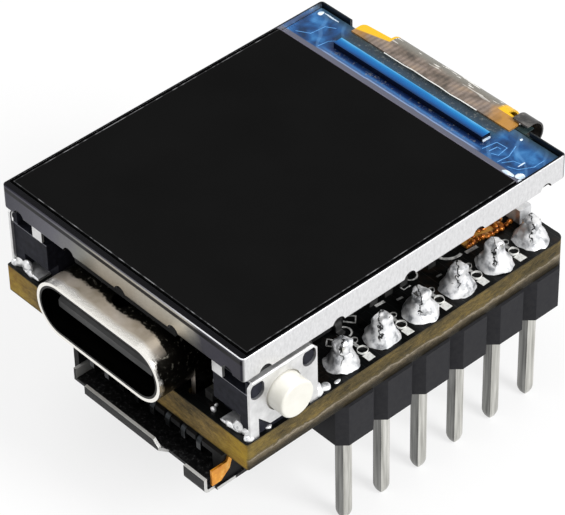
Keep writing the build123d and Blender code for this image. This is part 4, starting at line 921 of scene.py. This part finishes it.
def make_print_marks():
    """Plain rings and bars of white ink in the gaps between the joints, and small grey ones inside them."""
    ink = INK_HEIGHT * MM
    sizes = {
        "Count": PINS - 1, "First Place": (0.0, 0.0, 0.0), "Step": (0.0, -PIN_PITCH * MM, 0.0),
        "Ring Radius": 0.0, "Line Width": 0.0, "Line Height": ink, "Bar Size": (0.0, 0.0, ink),
        "Bar Place": (0.0, 0.0, 0.0), "Wear Scale": per(0.3), "Wear Depth": 0.1 * MM,
        "Material": FINISHES["print"],
    }
    tree = print_mark_tree(sizes)
    for kind, finish, row, shift, ring, line, bar, place in (
        ("print", "print", 7.72, -0.08, 0.26, 0.2, (0.46, 0.44), (0.5, -0.06)),
        ("small", "grey_print", 6.95, 0.12, 0.17, 0.13, (0.3, 0.18), (0.3, -0.16)),
    ):
        sizes |= {
            "Ring Radius": ring * MM, "Line Width": line * MM, "Material": FINISHES[finish],
            "Bar Size": (bar[0] * MM, bar[1] * MM, ink),
        }
        for side, sign in (("right", 1), ("left", -1)):
            sizes["First Place"] = tuple(at(sign * row, FIRST_PIN - PIN_PITCH / 2 + shift, 0.012))
            sizes["Bar Place"] = (sign * place[0] * MM, place[1] * MM, 0.0)
            fasten(grow(f"{side}_{kind}_marks", tree, sizes))


def pad_tree(sizes):
    """Bumps strewn over a strip, of many sizes, like reflowed metal on a row of pads."""
    tree, node, size = new_tree("pad_bumps", sizes)
    strip = node("GeometryNodeMeshGrid", {
        "Size X": size["Strip Width"], "Size Y": size["Strip Length"], "Vertices X": 2, "Vertices Y": 2,
    })
    placed = node("GeometryNodeTransform", {"Geometry": strip, "Translation": size["Strip Middle"]})
    points = node("GeometryNodeDistributePointsOnFaces", {
        "Mesh": placed, "Distance Min": size["Spacing"], "Density Max": size["Density"],
        "Seed": size["Seed"],
    }, distribute_method="POISSON")
    bump = node("GeometryNodeMeshIcoSphere", {"Radius": size["Bump Radius"], "Subdivisions": 2})
    grown = node("FunctionNodeRandomValue", {
        0: (0.55, 0.6, 0.45), 1: (1.2, 1.25, 0.9), "Seed": size["Seed"],
    }, data_type="FLOAT_VECTOR")
    bumps = node("GeometryNodeInstanceOnPoints", {"Points": points, "Instance": bump, "Scale": grown})
    real = node("GeometryNodeRealizeInstances", {"Geometry": bumps})
    lumpy = rippled(node, real, size["Lump Scale"], size["Lump Depth"], 5.0)
    end_tree(node, lumpy, size["Material"])
    return tree


def make_flex_pads():
    """The copper lumps along both sides of the flex's soldered end."""
    sizes = {
        "Strip Width": 0.75 * MM, "Strip Length": 2.9 * MM, "Strip Middle": (0.0, 0.0, 0.0),
        "Spacing": 0.24 * MM, "Density": 3.0e7, "Seed": 4, "Bump Radius": 0.2 * MM,
        "Lump Scale": per(0.3), "Lump Depth": 0.12 * MM, "Material": FINISHES["copper"],
    }
    tree = pad_tree(sizes)
    for name, x in (("right_flex_pads", 5.78), ("left_flex_pads", -5.78)):
        sizes["Strip Middle"] = tuple(at(x, 7.85, 0.12))
        fasten(grow(name, tree, sizes))


def add_lump(shape, place, size, turn=0.0, seed=0):
    """One dab of metal or sealant: a rounded lump, pushed about by noise."""
    spin = Matrix.Rotation(math.radians(turn), 4, "Z")
    matrix = Matrix.Translation(place) @ spin @ Matrix.Diagonal((*size, 1.0))
    made = bmesh.ops.create_icosphere(shape, subdivisions=3, radius=1.0, matrix=matrix)
    for vert in made["verts"]:
        shift = noise.noise_vector(vert.co * 3.0 + Vector((seed, 2 * seed, 0)))
        vert.co += Vector([s * 0.3 * extent for s, extent in zip(shift, size)])


def make_lumps(name, finish, lumps):
    """One piece of many dabs, each given by its place, half sizes and turn."""
    shape = bmesh.new()
    for number, (place, size, turn) in enumerate(lumps):
        add_lump(shape, Vector(place), size, turn, number * 1.7)
    return fasten(piece_from(shape, name, finish))


def add_line(shape, points, width, height, lift):
    """A flat ribbon of ink along some points."""
    half = width / 2
    rows = []
    for index, (x, y) in enumerate(points):
        before = Vector(points[max(index - 1, 0)])
        after = Vector(points[min(index + 1, len(points) - 1)])
        side = (after - before).normalized().orthogonal() * half
        corners = [(x + side.x, y + side.y), (x - side.x, y - side.y)]
        rows.append([shape.verts.new((cx, cy, z)) for z in (lift, lift + height) for cx, cy in corners])
    for near, far in zip(rows, rows[1:]):
        for a, b in ((0, 1), (1, 3), (3, 2), (2, 0)):
            shape.faces.new((near[a], near[b], far[b], far[a]))
    for end in (rows[0], rows[-1]):
        shape.faces.new((end[0], end[1], end[3], end[2]))


def make_lines(name, finish, height, lift, lines):
    """One piece of many ribbons, each given by its width and points."""
    shape = bmesh.new()
    for width, points in lines:
        add_line(shape, points, width, height, lift)
    fasten(piece_from(shape, name, finish))


def arc_points(centre, radius, start, end, steps=14):
    """Points along an arc, from one angle to another in degrees."""
    angles = [math.radians(start + (end - start) * k / steps) for k in range(steps + 1)]
    return [(centre[0] + radius * math.cos(a), centre[1] + radius * math.sin(a)) for a in angles]


def make_board_print():
    """Outlines of parts and a round swoosh of ink that come out from under the display."""
    make_lines("board_print", "grey_print", INK_HEIGHT, 0.0, [
        (0.16, arc_points((5.25, 5.75), 0.82, -75, 15)),
        (0.08, arc_points((5.45, 3.05), 0.36, -80, 200)),
        (0.07, [(5.1, 2.1), (6.0, 2.1), (6.0, 2.55)]),
        (0.09, arc_points((6.2, -2.05), 0.38, 0, 330)),
        (0.09, [(5.62, -1.55), (6.1, -1.2), (5.75, -0.85), (5.45, -1.15)]),
        (0.09, [(6.3, -3.3), (6.75, -3.0), (6.45, -2.65), (6.0, -2.95), (6.3, -3.3)]),
        (0.16, [(5.9, 0.3), (5.95, 0.85)]),
        (0.12, [(6.3, 1.35), (6.34, 1.7)]),
        (0.2, [(6.15, 6.15), (6.2, 6.9)]),
        (0.1, [(6.42, 3.9), (6.45, 4.2)]),
    ])


def make_ledge_marks():
    """Dabs of sealant and one painted highlight, etched tracks, the driver's end bead and a painted
    highlight along the flex's front edge, on the glass ledge.
    """
    top = LEDGE_TOP
    make_lumps("ledge_sealant", "sealant", [
        ((7.35, 7.66, top + 0.02), (0.42, 0.13, 0.05), 8),
        ((7.95, 7.9, top + 0.02), (0.26, 0.2, 0.05), 30),
        ((8.2, 7.65, top + 0.02), (0.14, 0.14, 0.05), 0),
        # A painted highlight: a small white dab where the ledge catches the light
        ((6.06, 9.93, top + 0.02), (0.07, 0.1, 0.04), 0),
        ((7.36, 8.62, top + 0.01), (0.04, 0.24, 0.03), -4),
        ((-8.05, 9.9, top + 0.02), (0.14, 0.2, 0.04), 0),
        ((-7.4, 10.05, top + 0.01), (0.5, 0.05, 0.03), 0),
    ])
    make_lines("ledge_tracks", "track", 0.01, top, [
        (0.05, [(5.2, 8.1), (5.35, 8.95), (6.0, 9.0), (6.1, 8.3), (5.75, 8.15)]),
        (0.05, [(5.55, 8.2), (5.62, 8.7), (5.85, 8.72)]),
        (0.04, [(6.4, 7.9), (6.5, 8.6), (6.2, 9.4)]),
        (0.04, [(6.6, 8.0), (6.9, 8.5), (7.3, 8.6)]),
        (0.04, [(7.0, 8.0), (7.5, 8.2), (7.9, 8.9), (7.9, 9.6)]),
        (0.04, [(-6.2, 7.95), (-6.1, 8.6), (-5.75, 9.0)]),
        (0.04, [(-7.9, 8.0), (-7.2, 8.4), (-7.1, 9.3), (-6.6, 9.6)]),
    ])
    make_lines("driver_end_bead", "sealant", 0.1, top + 0.02, [
        (0.07, [(4.87, 8.46), (4.9, 8.94)]),
    ])
    # A painted highlight: a thin ribbon of the white ink finish along the flex's front edge
    make_lines("flex_front_edge_painted_highlight", "print", 0.02, top + 0.1, [(0.06, [
        (-3.4, 9.86), (-1.97, 9.85), (-1.39, 9.9), (-0.43, 9.88), (0.46, 9.9), (1.25, 9.86), (1.99, 9.9),
        (2.66, 9.9), (3.03, 9.9),
    ])])


def make_rear_tape():
    """Dark tape behind the ledge: its upper edge is torn, so it wanders a little along the back wall;
    beside and inside the backlight flex it is a dark sheet put there for the shade.
    """
    front, back, low = 10.31, 10.41, 4.5
    left, length, steps = -6.3, 12.7, 60
    shape = bmesh.new()
    rows = []
    for k in range(steps + 1):
        x = left + length * k / steps
        # It reaches higher beside the backlight flex, a dark sheet that stands in for the shade there
        high = (4.8 if x < 5.85 else 4.95) + 0.05 * noise.noise(Vector((x * 1.3, 3.0, 0.0)))
        outline = ((front, low), (front, high), (back, high - 0.03), (back, low))
        rows.append([shape.verts.new((x, y, z)) for y, z in outline])
    for near, far in zip(rows, rows[1:]):
        for a in range(4):
            b = (a + 1) % 4
            shape.faces.new((near[a], near[b], far[b], far[a]))
    for end in (rows[0], rows[-1]):
        shape.faces.new(end)
    # A dark strip of it droops backwards inside the backlight flex's curl, standing in for the shade there
    add_line(shape, [(5.48, 10.38), (5.48, 10.6), (5.47, 10.8), (5.45, 11.05)], 0.68, 0.05, 4.79)
    fasten(piece_from(shape, "rear_tape", "tape"))


def make_switch_solder():
    """Solder on the feet and terminals of both switches."""
    for side, sign in (("right", 1), ("left", -1)):
        make_lumps(f"{side}_switch_solder", "solder", [
            ((sign * x, y, z), size, turn) for x, y, z, size, turn in (
                (8.2, -9.85, 0.16, (0.4, 0.34, 0.32), 20),
                (8.42, -10.12, 0.1, (0.26, 0.26, 0.2), -10),
                (7.62, -10.05, 0.22, (0.34, 0.2, 0.34), 0),
                (7.2, -10.2, 0.12, (0.3, 0.14, 0.18), 0),
                (8.3, -5.8, 0.2, (0.36, 0.34, 0.36), 0),
                (8.35, -5.3, 0.08, (0.26, 0.3, 0.14), 0),
                (8.42, -8.95, 0.05, (0.18, 0.22, 0.1), 0),
                (8.45, -4.6, 0.03, (0.1, 0.22, 0.05), 0),
                (5.9, -10.05, 0.08, (0.14, 0.12, 0.14), 0),
                (5.75, -9.75, 0.06, (0.08, 0.1, 0.1), 0),
                (7.15, -10.22, 0.1, (0.62, 0.08, 0.1), 0),
            )
        ])


def make_port_solder():
    """Solder wicked up the port's legs, and run out on the board beside them."""
    make_lumps("port_leg_solder", "solder", [
        ((4.55, -8.6, 0.12), (0.12, 0.3, 0.2), 0),
        ((-4.55, -8.6, 0.12), (0.12, 0.3, 0.2), 0),
        ((4.85, -9.0, 0.08), (0.2, 0.12, 0.12), 20),
        ((-5.1, -9.9, 0.15), (0.5, 0.16, 0.2), 10),
        ((-5.75, -10.1, 0.12), (0.3, 0.2, 0.2), 0),
    ])


# Stage

def seen_rays(node):
    """1 for rays that look, straight on, in a mirror or through glass, and 0 for rays that light."""
    path = node("LightPath").outputs
    looked = node("Math.MAXIMUM", [path["Is Camera Ray"], path["Is Glossy Ray"]])
    return node("Math.MAXIMUM", [looked, path["Is Transmission Ray"]])


def stage_and_light():
    """A pale floor, a white surround and three soft lamps."""
    floor_mesh = bpy.data.meshes.new("floor")
    reach = 2.0
    corners = [(-reach, -reach, 0), (reach, -reach, 0), (reach, reach, 0), (-reach, reach, 0)]
    floor_mesh.from_pydata(corners, [], [(0, 1, 2, 3)])
    floor = bpy.data.objects.new("floor", floor_mesh)
    bpy.context.collection.objects.link(floor)
    floor_paint, node, _ = new_surface("matt_paint_rolled")
    seen = seen_rays(node)
    matt = node("BsdfDiffuse", {"Color": node("Mix", [seen, paint("#bcbcbc"), paint("#f6f6f6")])})
    # Whatever looks at the paint sees it lit partly from within, so that the shadow on it is faint
    glow = node("Emission", {"Color": paint("#ffffff"), "Strength": 1.0})
    paler = node("Math.MULTIPLY", [seen, 0.75])
    node("OutputMaterial", {"Surface": node("MixShader", [paler, matt, glow])})
    floor_mesh.materials.append(floor_paint)

    world = bpy.data.worlds.new("studio")
    world.use_nodes = True
    world.node_tree.nodes.clear()
    bpy.context.scene.world = world
    node = partial(add_node, world.node_tree)
    strength = node("MapRange", [seen_rays(node), 0.0, 1.0, 0.42, 1.0])
    surround = node("Background", {"Color": paint("#ffffff"), "Strength": strength})
    node("OutputWorld", {"Surface": surround})

    middle = Vector((0, 0, 10)) * MM
    for name, place, size, power in (
        ("key_lamp", (190, 30, 170), 110, 0.58),
        ("top_lamp", (-40, -60, 260), 160, 0.26),
        ("front_lamp", (-120, -200, 90), 140, 0.03),
    ):
        lamp = bpy.data.lights.new(name, "AREA")
        lamp.shape = "DISK"
        lamp.size = size * MM
        lamp.energy = power
        holder = bpy.data.objects.new(name, lamp)
        holder.location = Vector(place) * MM
        holder.rotation_euler = (middle - holder.location).to_track_quat("-Z", "Y").to_euler()
        bpy.context.collection.objects.link(holder)


def photo_camera():
    """The photograph's viewpoint, from the fit of the board's and display's corners."""
    azimuth, elevation, roll = (math.radians(a) for a in (48.24, 41.29, -1.37))
    pan, tilt, distance = -0.21, -0.34, 155.16
    focal_pixels, picture_width, sensor = 3183.1, 565, 36.0
    back = Vector((
        math.sin(azimuth) * math.cos(elevation),
        -math.cos(azimuth) * math.cos(elevation),
        math.sin(elevation),
    ))
    level = Vector((math.cos(azimuth), math.sin(azimuth), 0))
    upright = back.cross(level)
    right = math.cos(roll) * level + math.sin(roll) * upright
    up = -math.sin(roll) * level + math.cos(roll) * upright
    centre = at(*(pan * right + tilt * up + distance * back))

    camera = bpy.data.cameras.new("photo_camera")
    camera.sensor_width = sensor
    camera.lens = focal_pixels * sensor / picture_width
    camera.clip_start = 0.01
    camera.clip_end = 10
    holder = bpy.data.objects.new("photo_camera", camera)
    axes = Matrix((right, up, back)).transposed().to_4x4()
    holder.matrix_world = Matrix.Translation(centre) @ axes
    bpy.context.collection.objects.link(holder)
    bpy.context.scene.camera = holder


# The noise that pushes the lumps about is the same in every run
noise.seed_set(LUMP_SEED)
bpy.context.scene.view_settings.view_transform = "Standard"
photo_camera()
dress_nodes()
make_pins()
make_solder_joints()
make_print_marks()
make_flex_pads()
make_board_print()
make_ledge_marks()
make_rear_tape()
make_switch_solder()
make_port_solder()
stage_and_light()
